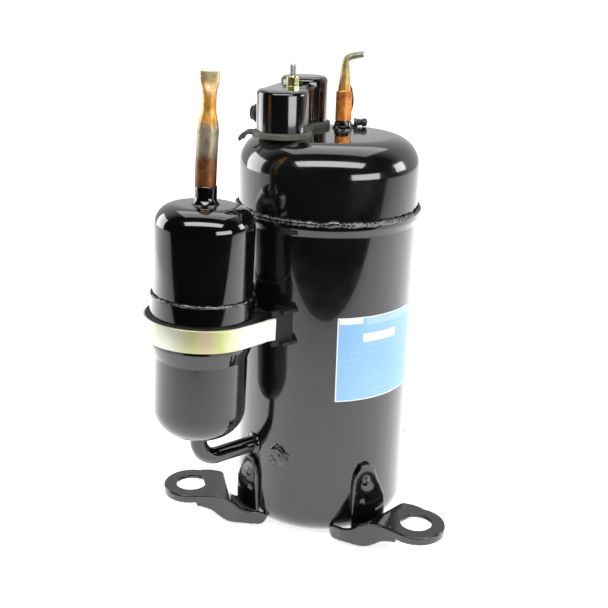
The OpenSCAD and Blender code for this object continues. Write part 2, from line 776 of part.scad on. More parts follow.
module sub_bearing() {
    color("#777b80") difference() {
        union() {
            translate([0, 0, sub_z - 0.01]) cylinder(r = flange_r, h = 5);
            translate([0, 0, sub_z - 14]) cylinder(r = 12, h = 15);
        }
        translate([0, 0, sub_z - 20]) cylinder(r = tail_r + fit, h = 40);
        bolt_holes(sub_z - 1, 8, bolt_r + 0.1);
    }
}

module vane() {
    half = vane_t / 2 - 0.02;
    color("#5c6066") at(vane_az, bore_r - fit, cyl_z + fit) {
        translate([half, 0, 0]) cylinder(r = half, h = cylinder_h - 2 * fit);
        translate([half, -half, 0]) cube([vane_l - half, 2 * half, cylinder_h - 2 * fit]);
    }
}

module vane_spring() {
    turns = 5;
    steps = 14;
    start = bore_r + vane_l + 0.3;
    pitch = (stator_r - 0.6 - start) / turns;
    color("#b0b4b8") at(vane_az, 0, port_z) sweep([for (i = [0:turns * steps])
        [start + 0.3 + pitch * i / steps, 2.9 * cos(360 * i / steps), 2.9 * sin(360 * i / steps)]], 0.35, 6);
}

// The reed lies over the discharge port along a chord, and is riveted at its root
reed_l = 20;
port_r = 21.5;
reed_turn = asin(reed_l / 2 / port_r) + 90;

module in_reed() {
    translate([port_r * cos(port_az), port_r * sin(port_az), main_top + 0.06])
        rotate([0, 0, port_az - reed_turn]) children();
}

module discharge_reed() {
    color("#b9bdc2") in_reed() {
        cylinder(r = 4, h = 0.4);
        translate([0, -2.6, 0]) cube([reed_l - 4, 5.2, 0.4]);
    }
}

module valve_stop() {
    color("#8f9398") in_reed() {
        translate([reed_l - 3.7, -3.8, 0]) difference() {
            cube([7.4, 7.6, 1.6]);
            translate([3.7, 3.8, -1]) cylinder(r = 1.5, h = 4);
        }
        translate([reed_l - 3.5, 3.4, 0.7]) rotate([0, -9, 180]) cube([reed_l - 1, 6.8, 0.9]);
    }
}

module valve_rivet() {
    color("#a5a9ad") in_reed() translate([reed_l, 0, -0.02]) {
        cylinder(r = 1.48, h = 2);
        translate([0, 0, 1.63]) cylinder(r = 2.6, h = 1.2);
    }
}

module muffler_cover() {
    color("#94989c") translate([0, 0, main_top + 0.02]) difference() {
        union() {
            ring(flange_r, 29, 1);
            pot(30, 16, 4);
        }
        translate([0, 0, -1]) pot(29, 16, 3);
        translate([0, 0, -1]) cylinder(r = 14.1, h = 30);
        for (a = [0, 180]) at(a, 21, 10) cylinder(r = 2.5, h = 10);
        bolt_holes(-1, 3, bolt_r + 0.1);
    }
}

module pump_bolts() {
    color("#3a3c3f") for (k = [0:4]) at(k * 72 + 20, bolt_circle, 0) {
        translate([0, 0, sub_z - 3]) cylinder(r = bolt_r, h = main_top + 1.04 - sub_z + 3.2);
        translate([0, 0, main_top + 1.04]) cylinder(r = 4.4, h = 3.5, $fn = 6);
        translate([0, 0, sub_z - 4]) cylinder(r = 4.4, h = 3.97, $fn = 6);
    }
}

lower_shell();
top_cap();
seam_weld();
plug_welds();
left_foot();
front_foot();
rear_foot();
accumulator_upper_shell();
accumulator_lower_shell();
accumulator_weld();
accumulator_strainer();
accumulator_baffle();
accumulator_outlet_pipe();
suction_stub();
suction_tube();
inlet_collar();
accumulator_bracket();
accumulator_strap();
strap_liner();
discharge_stub();
discharge_tube();
cover_gasket();
terminal_cover();
lead_boot();
cover_stud();
cover_washer();
cover_nut();
overload_protector();
terminal_body();
terminal_glass();
terminal_pins();
lead_connector();
lead_wires();
lead_clip();
earth_screw();
name_label();
stator_core();
stator_winding();
rotor_core();
rotor_end_rings();
balance_weights();
crankshaft();
oil_paddle();
rolling_piston();
pump_cylinder();
main_bearing();
sub_bearing();
vane();
vane_spring();
discharge_reed();
valve_stop();
valve_rivet();
muffler_cover();
pump_bolts();
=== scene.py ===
"""Looks of the refrigeration rotary compressor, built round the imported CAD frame. Lengths are in mm."""

import json
import math

import bmesh
import bpy
from mathutils import Matrix, Vector, noise

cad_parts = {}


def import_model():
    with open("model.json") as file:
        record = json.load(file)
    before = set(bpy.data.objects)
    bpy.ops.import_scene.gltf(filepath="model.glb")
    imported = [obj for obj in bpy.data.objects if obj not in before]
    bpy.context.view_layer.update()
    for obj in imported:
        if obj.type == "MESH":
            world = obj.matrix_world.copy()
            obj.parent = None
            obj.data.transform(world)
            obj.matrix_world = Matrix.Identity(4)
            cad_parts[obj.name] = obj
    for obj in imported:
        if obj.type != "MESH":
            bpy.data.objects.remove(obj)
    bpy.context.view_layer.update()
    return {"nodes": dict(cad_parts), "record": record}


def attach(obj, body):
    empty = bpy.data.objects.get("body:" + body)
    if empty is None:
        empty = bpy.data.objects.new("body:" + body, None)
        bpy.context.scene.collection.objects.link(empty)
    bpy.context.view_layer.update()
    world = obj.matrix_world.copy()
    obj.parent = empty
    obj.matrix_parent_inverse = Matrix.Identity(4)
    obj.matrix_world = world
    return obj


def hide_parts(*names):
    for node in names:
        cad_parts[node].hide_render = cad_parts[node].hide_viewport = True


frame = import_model()

MM = 0.001
AXIS_Z = Vector((0, 0, 1))

# Shell, from part.scad
SHELL_R = 58.0
WALL = 3.0
BOTTOM_Z = -17.0
BOTTOM_CORNER = 18.0
RIM_LOW = 187.0
RIM_TOP = 198.0
RIM_R = 60.4
LEDGE_Z = 190.0
CROWN_Z = 244.0
CAP_CORNER = 20.0
PORT_Z = 42.0
PLUG_AZ = 202.5
PLUG_Z = 40.8

# Feet, from part.scad
FOOT_R = 91.3
PAD_R = 19.0
HOLE_R = 10.0
# name, azimuth, hand, and the tab's turn and top
FEET = (("left_foot", 155.0, 1, 19.5, 33.3),
        ("front_foot", 275.0, -1, 9.8, 36.9),
        ("rear_foot", 35.0, 1, 15.0, 36.9))
WEB_LOW = -15.5

# Accumulator, in its own leaning frame
ACC_R = 30.3
ACC_LOW_R = 28.9
MOUTH_R = 31.9
ACC_WALL = 1.6
ACC_TOP = 55.0
ACC_BOTTOM = -92.0
ACC_LEAN = math.radians(2.5)
PIPE_R = 5.5
PIPE_BEND = 14.6
STRAP_R = 36.0
STRAP_T = 1.5
STRAP_LOW = -26.5
STRAP_H = 14.0
BRACKET_Y = 29.5
SUCTION_R = 6.35

# Terminal cover, in a frame whose +X points outwards
COVER_Z = 246.5
COVER_H = 26.0
HIGH_LOBE_H = 30.0
LOBE_R = 16.0
LOBE_Y = 26.3
WEB_OUT = 15.2
NECK_IN = 9.0
STUD_Y = 3.5
STUD_R = 2.0
NUT_SEAT_Z = 270.3
STUD_TOP = 285.7
DISCHARGE = Vector((20.4, 11.9, 0))

# Label on the shell: where it starts and how far it goes round, in degrees, and its heights
LABEL_START = -121.5
LABEL_SPAN = 63
LABEL_LOW = 83.0
LABEL_HIGH = 139.0

IN_ACC = Matrix.Translation((-96.5, 0, 154)) @ Matrix.Rotation(ACC_LEAN, 4, "Y")
IN_COVER = Matrix.Rotation(math.radians(127.5), 4, "Z") @ Matrix.Translation((24.7, 0, 0))
# Turns a part built upwards so that it points along +X
LAID_OUTWARDS = Matrix.Rotation(math.radians(90), 4, "Y")
IN_CLIP = (Matrix.Translation((DISCHARGE.x, DISCHARGE.y, CROWN_Z + 0.02))
           @ Matrix.Rotation(math.radians(-38.6), 4, "Z"))


# ---- Mesh helpers ----

def polar(radius, degrees, z=0.0):
    a = math.radians(degrees)
    return Vector((radius * math.cos(a), radius * math.sin(a), z))


def rounded(points, closed=True, step=8.0):
    """Corners given as (x, y, fillet radius) turn into arcs; (x, y) stays a corner."""
    out = []
    count = len(points)
    for i, point in enumerate(points):
        fillet = point[2] if len(point) > 2 else 0
        here = Vector(point[:2])
        if not fillet or (not closed and i in (0, count - 1)):
            out.append(here)
            continue
        before, after = points[i - 1], points[(i + 1) % count]
        a, b = Vector(before[:2]) - here, Vector(after[:2]) - here
        room = min(a.length * (0.5 if len(before) > 2 else 1), b.length * (0.5 if len(after) > 2 else 1))
        a.normalize()
        b.normalize()
        half = a.angle(b) / 2
        cut = min(fillet / math.tan(half), room)
        radius = cut * math.tan(half)
        centre = here + (a + b).normalized() * (radius / math.sin(half))
        start, end = here + a * cut - centre, here + b * cut - centre
        turn = start.angle(end)
        steps = max(3, round(math.degrees(turn) / step))
        for k in range(steps + 1):
            t = k / steps
            spoke = start * math.sin((1 - t) * turn) + end * math.sin(t * turn)
            out.append(centre + spoke / math.sin(turn))
    return out


def bridge(bm, a, b):
    """Faces between two rings of vertices; a ring of one vertex closes to a point."""
    n = max(len(a), len(b))
    for k in range(n):
        corners = [a[k % len(a)], a[(k + 1) % len(a)], b[(k + 1) % len(b)], b[k % len(b)]]
        corners = list(dict.fromkeys(corners))
        if len(corners) > 2:
            bm.faces.new(corners)


def lathe(bm, profile, steps=160, closed=True, wobble=None):
    """A profile of (radius, height) turned about Z."""
    rings = []
    for r, z in profile:
        if r < 1e-6:
            rings.append([bm.verts.new((0, 0, z))])
            continue
        ring = []
        for k in range(steps):
            a = 2 * math.pi * k / steps
            dr, dz = wobble(a, r, z) if wobble else (0, 0)
            ring.append(bm.verts.new(((r + dr) * math.cos(a), (r + dr) * math.sin(a), z + dz)))
        rings.append(ring)
    for a, b in zip(rings, rings[1:] + rings[:1] if closed else rings[1:]):
        bridge(bm, a, b)


def frames(path, up):
    """A frame carried along the path without twist: (point, side, other side)."""
    out = []
    side = None
    for i, p in enumerate(path):
        along = (path[min(i + 1, len(path) - 1)] - path[max(i - 1, 0)]).normalized()
        side = (up if side is None else side)
        side = (side - along * side.dot(along)).normalized()
        out.append((p, side, along.cross(side)))
    return out


def tube(bm, path, sizes, steps=40, wall=0.0, up=Vector((0, 1, 0)), power=2.0):
    """A tube along a path. sizes: one (half width, half depth) for each point; wall makes it hollow."""
    def ring(place, a, b):
        p, side, other = place
        verts = []
        for k in range(steps):
            t = 2 * math.pi * k / steps
            c, s = math.cos(t), math.sin(t)
            c = math.copysign(abs(c) ** (2 / power), c)
            s = math.copysign(abs(s) ** (2 / power), s)
            verts.append(bm.verts.new(p + side * a * c + other * b * s))
        return verts
    places = frames(path, up)
    rings = [ring(place, *size) for place, size in zip(places, sizes)]
    if wall:
        inner = [ring(place, a - wall, b - wall) for place, (a, b) in zip(places, sizes)]
        rings = rings + inner[::-1]
        rings.append(rings[0])
    for a, b in zip(rings, rings[1:]):
        bridge(bm, a, b)
    if not wall:
        bm.faces.new(rings[0])
        bm.faces.new(rings[-1])


def extrude(bm, outline, low, high):
    """A closed outline of (x, y) between two heights, sharp at its edges."""
    bottom = [bm.verts.new((p[0], p[1], low)) for p in outline]
    top = [bm.verts.new((p[0], p[1], high)) for p in outline]
    bridge(bm, bottom, top)
    bm.faces.new(bottom)
    bm.faces.new(top)


def loft(bm, sections):
    """Closed sections with the same number of points, joined in order and capped."""
    rings = [[bm.verts.new(p) for p in section] for section in sections]
    for a, b in zip(rings, rings[1:]):
        bridge(bm, a, b)
    bm.faces.new(rings[0])
    bm.faces.new(rings[-1])


def spline(points, steps=8):
    """A smooth curve through points (Catmull-Rom)."""
    pts = [Vector(p) for p in points]
    pts = [2 * pts[0] - pts[1]] + pts + [2 * pts[-1] - pts[-2]]
    out = []
    for i in range(1, len(pts) - 2):
        a, b, c, d = pts[i - 1:i + 3]
        for k in range(steps):
            t = k / steps
            out.append(0.5 * (2 * b + (c - a) * t + (2 * a - 5 * b + 4 * c - d) * t * t
                              + (3 * b - a - 3 * c + d) * t ** 3))
    return out + [pts[-2]]


def add(bm, part):
    """Takes another mesh into this one."""
    mesh = bpy.data.meshes.new("part")
    part.to_mesh(mesh)
    part.free()
    bm.from_mesh(mesh)
    bpy.data.meshes.remove(mesh)


def fused(bm, voxel, smoothing):
    """Overlapping closed solids melted into one skin with softened edges."""
    bmesh.ops.recalc_face_normals(bm, faces=bm.faces)
    mesh = bpy.data.meshes.new("melt")
    bm.to_mesh(mesh)
    bm.free()
    obj = bpy.data.objects.new("melt", mesh)
    bpy.context.collection.objects.link(obj)
    melt = obj.modifiers.new("melt", "REMESH")
    melt.mode = "VOXEL"
    melt.voxel_size = voxel
    soften = obj.modifiers.new("soften", "SMOOTH")
    soften.factor = 0.5
    soften.iterations = smoothing
    result = bmesh.new()
    result.from_mesh(obj.evaluated_get(bpy.context.evaluated_depsgraph_get()).to_mesh())
    bpy.data.objects.remove(obj)
    bpy.data.meshes.remove(mesh)
    return result


def piece(name, bm, body, slot, nodes=(), place=None, sharp=32.0, bevel=0.0):
    """A finished mesh: moved to its place, turned into metres, shaded, and riding on its body."""
    if place is not None:
        bm.transform(place)
    bm.transform(Matrix.Scale(MM, 4))
    bmesh.ops.recalc_face_normals(bm, faces=bm.faces)
    for face in bm.faces:
        face.smooth = True
    for edge in bm.edges:
        if len(edge.link_faces) == 2 and edge.calc_face_angle(0) > math.radians(sharp):
            edge.smooth = False
    mesh = bpy.data.meshes.new(name)
    bm.to_mesh(mesh)
    bm.free()
    obj = bpy.data.objects.new(name, mesh)
    bpy.context.collection.objects.link(obj)
    obj.data.materials.append(MATERIALS[slot])
    if bevel:
        edge = obj.modifiers.new("edge", "BEVEL")
        edge.width = bevel * MM
        edge.segments = 3
        edge.limit_method = "ANGLE"
        edge.angle_limit = math.radians(40)
        edge.harden_normals = False
    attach(obj, body)
    if nodes:
        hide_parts(*nodes)
    return obj


def blob(bm, centre, radii, seed, rough=0.15, detail=3):
    """A lumpy weld nugget."""
    made = bmesh.ops.create_icosphere(bm, subdivisions=detail, radius=1.0)
    for v in made["verts"]:
        lump = 1 + rough * noise.noise(v.co * 2.2 + Vector((seed, 0, 0)))
        v.co = Vector(c + r * x * lump for c, r, x in zip(centre, radii, v.co))


# ---- Materials ----

class Shade:
    """A Principled material whose colour, roughness and bump come from nodes."""

    def __init__(self, name, **constants):
        self.material = bpy.data.materials.new(name)
        self.material.use_nodes = True
        self.tree = self.material.node_tree
        self.shader = self.tree.nodes["Principled BSDF"]
        self.object = self.tree.nodes.new("ShaderNodeTexCoord").outputs["Object"]
        for socket, value in constants.items():
            self.shader.inputs[socket.replace("_", " ")].default_value = value

    def feed(self, socket, value):
        if hasattr(value, "is_output"):
            self.tree.links.new(value, socket)
        else:
            socket.default_value = value

    def moved(self, stretch=(1, 1, 1), offset=(0, 0, 0), source=None):
        node = self.tree.nodes.new("ShaderNodeMapping")
        self.feed(node.inputs["Vector"], source or self.object)
        node.inputs["Scale"].default_value = stretch
        node.inputs["Location"].default_value = offset
        return node.outputs["Vector"]

    def noise(self, scale, detail=4.0, roughness=0.55, vector=None, distortion=0.0):
        node = self.tree.nodes.new("ShaderNodeTexNoise")
        self.feed(node.inputs["Vector"], vector or self.object)
        for socket, value in (("Scale", scale), ("Detail", detail), ("Roughness", roughness),
                              ("Distortion", distortion)):
            node.inputs[socket].default_value = value
        return node.outputs["Fac"]

    def ramp(self, value, *stops):
        node = self.tree.nodes.new("ShaderNodeValToRGB")
        self.feed(node.inputs["Fac"], value)
        elements = node.color_ramp.elements
        while len(elements) < len(stops):
            elements.new(0.5)
        for element, (position, colour) in zip(elements, stops):
            element.position = position
            grey = (colour,) * 3 if isinstance(colour, (int, float)) else colour
            element.color = (*grey, 1)
        return node.outputs["Color"]

    def maths(self, operation, a, b=0.0, c=0.0):
        node = self.tree.nodes.new("ShaderNodeMath")
        node.operation = operation
        for socket, value in zip(node.inputs, (a, b, c)):
            self.feed(socket, value)
        return node.outputs["Value"]

    def mix(self, factor, a, b, blend="MIX"):
        node = self.tree.nodes.new("ShaderNodeMix")
        node.data_type = "RGBA"
        node.blend_type = blend
        self.feed(node.inputs[0], factor)
        for socket, value in ((node.inputs[6], a), (node.inputs[7], b)):
            self.feed(socket, (*value, 1) if isinstance(value, tuple) and len(value) == 3 else value)
        return node.outputs[2]

    def split(self, vector):
        node = self.tree.nodes.new("ShaderNodeSeparateXYZ")
        self.feed(node.inputs[0], vector)
        return node.outputs

    def bump(self, height, strength, distance, under=None):
        node = self.tree.nodes.new("ShaderNodeBump")
        self.feed(node.inputs["Height"], height)
        node.inputs["Strength"].default_value = strength
        node.inputs["Distance"].default_value = distance
        if under is not None:
            self.feed(node.inputs["Normal"], under)
        return node.outputs["Normal"]

    def done(self, colour, roughness, normal=None, metallic=None):
        self.feed(self.shader.inputs["Base Color"], colour)
        self.feed(self.shader.inputs["Roughness"], roughness)
        if normal is not None:
            self.feed(self.shader.inputs["Normal"], normal)
        if metallic is not None:
            self.feed(self.shader.inputs["Metallic"], metallic)
        return self.material


def enamel(name, dark, light, peel=0.12, dust=0.0, gloss=(0.10, 0.2)):
    """Glossy sprayed enamel: orange peel, faint patches of tone and gloss, and specks of dust when dust is
    given.
    """
    s = Shade(name, Coat_Weight=1.0, Coat_Roughness=0.035, Coat_IOR=1.5, IOR=1.5)
    patches = s.noise(26, 5, 0.6)
    colour = s.ramp(patches, (0.35, dark), (0.7, light))
    specks = s.ramp(s.noise(900, 2, 0.5), (0.66, 0.0), (0.76, 1.0))
    if dust:
        colour = s.mix(s.maths("MULTIPLY", specks, dust), colour, (0.22, 0.21, 0.19))
    rough = s.ramp(s.noise(60, 4, 0.6), (0.35, gloss[0]), (0.7, gloss[1]))
    slow = s.bump(s.noise(45, 2, 0.4), peel * 0.6, 0.0006)
    fine = s.bump(s.noise(420, 3, 0.5), peel, 0.00012, slow)
    return s.done(colour, rough, fine)


def metal(name, base, tint, rough=(0.25, 0.4), grain=(1, 1, 12), scale=300, bump=0.1, patches=40.0):
    """Bare metal with a drawn or turned grain and slow staining."""
    s = Shade(name, IOR=1.5)
    stain = s.noise(patches, 5, 0.6)
    colour = s.ramp(stain, (0.3, base), (0.72, tint))
    lines = s.noise(scale, 3, 0.6, s.moved(grain))
    colour = s.mix(0.25, colour, s.ramp(lines, (0.3, 0.25), (0.7, 1.0)), "MULTIPLY")
    roughness = s.ramp(s.noise(patches * 3, 4, 0.6), (0.3, rough[0]), (0.7, rough[1]))
    return s.done(colour, roughness, s.bump(lines, bump, 0.0001), 1.0)


def moulded(name, base, tint, rough=(0.4, 0.6), bump=0.15, scale=900, coat=0.0, sheen=0.0):
    """Moulded plastic or rubber with a fine skin."""
    s = Shade(name, IOR=1.5, Coat_Weight=coat, Coat_Roughness=0.04, Sheen_Weight=sheen)
    colour = s.ramp(s.noise(70, 4, 0.6), (0.3, base), (0.75, tint))
    roughness = s.ramp(s.noise(160, 4, 0.6), (0.3, rough[0]), (0.7, rough[1]))
    return s.done(colour, roughness, s.bump(s.noise(scale, 3, 0.5), bump, 0.0001))


def tinted_copper(name, low, high, bands):
    """Copper tube whose heat tint changes with height, given as bands between two heights."""
    s = Shade(name, IOR=1.5)
    drift = s.maths("MULTIPLY", s.maths("SUBTRACT", s.noise(55, 4, 0.6), 0.5), 0.028)
    height = s.maths("ADD", s.split(s.object)[2], drift)
    place = s.maths("DIVIDE", s.maths("SUBTRACT", height, low), high - low)
    colour = s.ramp(place, *bands)
    blotches = s.ramp(s.noise(210, 5, 0.65), (0.45, 1.0), (0.68, (0.34, 0.26, 0.2)))
    colour = s.mix(0.7, colour, blotches, "MULTIPLY")
    rough = s.ramp(s.noise(130, 5, 0.6), (0.3, 0.34), (0.7, 0.56))
    lines = s.noise(260, 3, 0.6, s.moved((3, 3, 0.4)))
    return s.done(colour, rough, s.bump(lines, 0.12, 0.0002), 0.7)


def zinc_strap():
    """Pale zinc with a yellow-green passivation tint where the band faces away from the shell."""
    s = Shade("zinc_strap", IOR=1.5, Coat_Weight=0.3, Coat_Roughness=0.12)
    x, y, _ = s.split(s.object)
    around = s.maths("ARCTAN2", y, s.maths("ADD", x, 0.0965))
    wander = s.maths("MULTIPLY", s.maths("SUBTRACT", s.noise(38, 4, 0.6), 0.5), 0.5)
    angle = s.maths("ADD", around, wander)
    tint = s.ramp(s.maths("DIVIDE", s.maths("ADD", angle, math.pi), 2 * math.pi),
                  (0.0, (0.80, 0.82, 0.66)), (0.06, (0.86, 0.86, 0.76)), (0.13, (0.66, 0.68, 0.32)),
                  (0.17, (0.74, 0.62, 0.42)), (0.205, (0.64, 0.68, 0.26)), (0.27, (0.88, 0.89, 0.78)),
                  (0.40, (0.9, 0.91, 0.86)), (1.0, (0.82, 0.83, 0.7)))
    scratches = s.noise(260, 4, 0.65, s.moved((0.5, 0.5, 14)))
    colour = s.mix(0.3, tint, s.ramp(scratches, (0.3, 0.6), (0.62, 1.0)), "MULTIPLY")
    rough = s.ramp(s.noise(90, 4, 0.6), (0.3, 0.32), (0.7, 0.5))
    return s.done(colour, rough, s.bump(scratches, 0.15, 0.0001), 0.55)


def printed_label():
    """Light blue foil label with a white edge, header strip, sticker and rows of meaningless ticks."""
    s = Shade("label_paper", Coat_Weight=0.35, Coat_Roughness=0.2, IOR=1.5)
    uv = s.tree.nodes.new("ShaderNodeTexCoord").outputs["UV"]
    u, v, _ = s.split(uv)

    def between(value, low, high):
        return s.maths("MULTIPLY", s.maths("GREATER_THAN", value, low), s.maths("LESS_THAN", value, high))

    def patch(u0, u1, v0, v1):
        return s.maths("MULTIPLY", between(u, u0, u1), between(v, v0, v1))

    fade = s.noise(24, 4, 0.6)
    colour = s.ramp(fade, (0.3, (0.235, 0.475, 0.80)), (0.7, (0.31, 0.56, 0.88)))
    # faint printed rows: short ticks, broken up by noise, that spell nothing
    row = s.maths("FRACT", s.maths("MULTIPLY", v, 13.0))
    ticks = s.maths("GREATER_THAN", s.noise(70, 2, 0.7, s.moved((14, 1, 1), source=uv)), 0.56)
    text = s.maths("MULTIPLY", s.maths("MULTIPLY", between(row, 0.35, 0.68), ticks),
                   patch(0.08, 0.9, 0.08, 0.72))
    colour = s.mix(s.maths("MULTIPLY", text, 0.35), colour, (0.62, 0.78, 0.95))
    colour = s.mix(patch(0.02, 0.26, 0.925, 0.985), colour, (0.86, 0.9, 0.95))
    header = s.maths("MULTIPLY", patch(0.3, 0.97, 0.9, 0.985),
                     s.maths("GREATER_THAN", s.noise(60, 2, 0.7, s.moved((9, 1, 1), (3, 0, 0), uv)), 0.55))
    colour = s.mix(s.maths("MULTIPLY", header, 0.8), colour, (0.86, 0.9, 0.95))
    colour = s.mix(patch(0.27, 0.68, 0.70, 0.80), colour, (0.88, 0.89, 0.86))
    marks = s.maths("MULTIPLY", patch(0.31, 0.64, 0.72, 0.78),
                    s.maths("GREATER_THAN", s.noise(75, 1, 0.6, s.moved((11, 1, 1), (7, 0, 0), uv)), 0.54))
    colour = s.mix(s.maths("MULTIPLY", marks, 0.6), colour, (0.33, 0.34, 0.28))
    inner = patch(0.012, 0.988, 0.012, 0.988)
    colour = s.mix(inner, (0.85, 0.88, 0.93), colour)
    rough = s.ramp(s.noise(50, 4, 0.6), (0.3, 0.38), (0.7, 0.5))
    return s.done(colour, rough, s.bump(s.noise(90, 3, 0.5), 0.08, 0.0004))


MATERIALS = {
    "shell_paint": enamel("shell_paint", (0.0035, 0.0035, 0.0035), (0.007, 0.007, 0.007), dust=0.03),
    "accumulator_paint": enamel("accumulator_paint", (0.0025, 0.0025, 0.003), (0.0045, 0.0045, 0.005),
                                peel=0.08, gloss=(0.07, 0.14)),
    "bracket_paint": moulded("bracket_paint", (0.0015, 0.0015, 0.0015), (0.004, 0.004, 0.004), (0.55, 0.7),
                             0.2, 300),
    "bead_paint": metal("bead_paint", (0.006, 0.006, 0.006), (0.34, 0.34, 0.35), (0.15, 0.35), (1, 1, 1),
                        500, 0.5, 210.0),
    "seam_metal": metal("seam_metal", (0.03, 0.03, 0.032), (0.30, 0.30, 0.29), (0.2, 0.45), (1, 1, 1), 500,
                        0.5, 180.0),
    "bare_steel": metal("bare_steel", (0.42, 0.43, 0.45), (0.62, 0.63, 0.65)),
    "copper": tinted_copper("copper", 0.218, 0.286, (
        (0.0, (0.14, 0.05, 0.015)), (0.12, (0.26, 0.10, 0.03)), (0.24, (0.22, 0.10, 0.05)),
        (0.33, (0.36, 0.31, 0.22)), (0.52, (0.40, 0.35, 0.24)), (0.60, (0.80, 0.36, 0.06)),
        (0.70, (0.86, 0.50, 0.12)), (0.80, (0.78, 0.34, 0.06)), (0.88, (0.66, 0.50, 0.26)),
        (1.0, (0.50, 0.50, 0.36)))),
    "copper_discharge": tinted_copper("copper_discharge", 0.249, 0.292, (
        (0.0, (0.85, 0.30, 0.06)), (0.30, (0.90, 0.36, 0.08)), (0.42, (0.55, 0.16, 0.05)),
        (0.50, (0.85, 0.36, 0.08)), (0.66, (0.62, 0.40, 0.12)), (0.82, (0.40, 0.34, 0.2)),
        (1.0, (0.30, 0.30, 0.25)))),
    "zinc_strap": zinc_strap(),
    "zinc_nut": metal("zinc_nut", (0.62, 0.60, 0.20), (0.82, 0.80, 0.5), (0.22, 0.4), (1, 1, 6), 500),
    "rubber_black": moulded("rubber_black", (0.010, 0.010, 0.010), (0.028, 0.028, 0.027), (0.5, 0.7)),
    "rubber_grey": moulded("rubber_grey", (0.055, 0.06, 0.048), (0.12, 0.125, 0.105), (0.42, 0.6), 0.25),
    "cover_plastic": moulded("cover_plastic", (0.003, 0.003, 0.0035), (0.006, 0.006, 0.007), (0.12, 0.2),
                             0.05, 600, coat=1.0),
    "phenolic": moulded("phenolic", (0.012, 0.012, 0.013), (0.026, 0.025, 0.026), (0.35, 0.55)),
    "seal_glass": moulded("seal_glass", (0.03, 0.09, 0.16), (0.05, 0.14, 0.22), (0.08, 0.15), 0.05, 400, 0.6),
    "pin_metal": metal("pin_metal", (0.5, 0.46, 0.4), (0.68, 0.64, 0.56)),
    "connector_plastic": moulded("connector_plastic", (0.62, 0.59, 0.5), (0.74, 0.72, 0.64)),
    "lead_insulation": moulded("lead_insulation", (0.3, 0.05, 0.04), (0.45, 0.08, 0.06), (0.6, 0.8), 0.5,
                               1400, sheen=0.3),
    "label_paper": printed_label(),
    "lamination": metal("lamination", (0.16, 0.17, 0.19), (0.32, 0.33, 0.35), (0.35, 0.5), (0.2, 0.2, 8),
                        400, 0.5),
    "winding": metal("winding", (0.34, 0.11, 0.03), (0.56, 0.24, 0.09), (0.25, 0.4), (1, 1, 4), 600, 0.6),
    "rotor_aluminium": metal("rotor_aluminium", (0.6, 0.61, 0.62), (0.78, 0.79, 0.8), (0.4, 0.55),
                             (1, 1, 1), 500),
    "weight_brass": metal("weight_brass", (0.46, 0.35, 0.12), (0.66, 0.52, 0.22)),
    "cast_pump": metal("cast_pump", (0.16, 0.165, 0.175), (0.3, 0.31, 0.33), (0.4, 0.6), (1, 1, 1), 700, 0.5),
    "shaft_steel": metal("shaft_steel", (0.45, 0.46, 0.48), (0.6, 0.61, 0.63), (0.15, 0.28)),
    "bolt_steel": metal("bolt_steel", (0.05, 0.05, 0.055), (0.12, 0.12, 0.125), (0.35, 0.5), (1, 1, 1), 500),
}


# ---- Shell ----

def lower_shell():
    outer = [(0, BOTTOM_Z), (SHELL_R, BOTTOM_Z, BOTTOM_CORNER), (SHELL_R, RIM_LOW + 3, 5),
             (RIM_R - 0.9, RIM_TOP - 4, 3),
             (RIM_R - 0.9, RIM_TOP, 0.5), (SHELL_R + 0.06, RIM_TOP, 0.3), (SHELL_R + 0.06, LEDGE_Z),
             (SHELL_R - WALL, LEDGE_Z - 1), (SHELL_R - WALL, BOTTOM_Z + WALL, BOTTOM_CORNER - WALL),
             (0, BOTTOM_Z + WALL)]
    bm = bmesh.new()
    lathe(bm, rounded(outer), steps=192, closed=False)
    piece("lower_shell_drawn", bm, "housing", "shell_paint", ["lower_shell"])


def top_cap():
    outer = [(0, CROWN_Z), (SHELL_R, CROWN_Z, CAP_CORNER), (SHELL_R, LEDGE_Z + 0.05),
             (SHELL_R - WALL, LEDGE_Z + 0.05), (SHELL_R - WALL, CROWN_Z - WALL, CAP_CORNER - WALL),
             (0, CROWN_Z - WALL)]
    bm = bmesh.new()
    lathe(bm, rounded(outer, step=5.0), steps=192, closed=False)
    piece("top_cap_drawn", bm, "housing", "shell_paint", ["top_cap"])


def bead(bm, radius, height, width, tall, seed, steps=900):
    """A hand-run weld bead: overlapping ripples and lumps of uneven size along a circle."""
    across = 12
    rings = []
    for k in range(steps):
        a = 2 * math.pi * k / steps
        here = Vector((math.cos(a), math.sin(a), 0))
        ripple = 0.5 + 0.5 * math.cos(a * 96 + 5 * noise.noise(here * 5))
        lump = noise.noise(here * 11 + Vector((seed, 0, 0))) + 0.7 * noise.noise(here * 37)
        size = min(1.15, max(0.5, 0.85 + 0.14 * ripple + 0.5 * lump))
        sway = tall * 0.3 * noise.noise(here * 8 + Vector((0, seed, 0)))
        ring = []
        for j in range(across):
            t = 2 * math.pi * j / across
            pit = 0.12 * noise.noise(here * 70 + AXIS_Z * (seed + j * 0.4))
            out = width * math.cos(t) * min(1.0, size + pit)
            up = tall * math.sin(t) * (size + pit) + sway
            ring.append(bm.verts.new(here * (radius + out) + AXIS_Z * (height + up)))
        rings.append(ring)
    for a, b in zip(rings, rings[1:] + rings[:1]):
        bridge(bm, a, b)


def seam_weld():
    bm = bmesh.new()
    bead(bm, SHELL_R + 1.1, RIM_TOP, 1.3, 1.9, 2.0)
    piece("seam_weld_bead", bm, "housing", "seam_metal", ["seam_weld"], sharp=60)


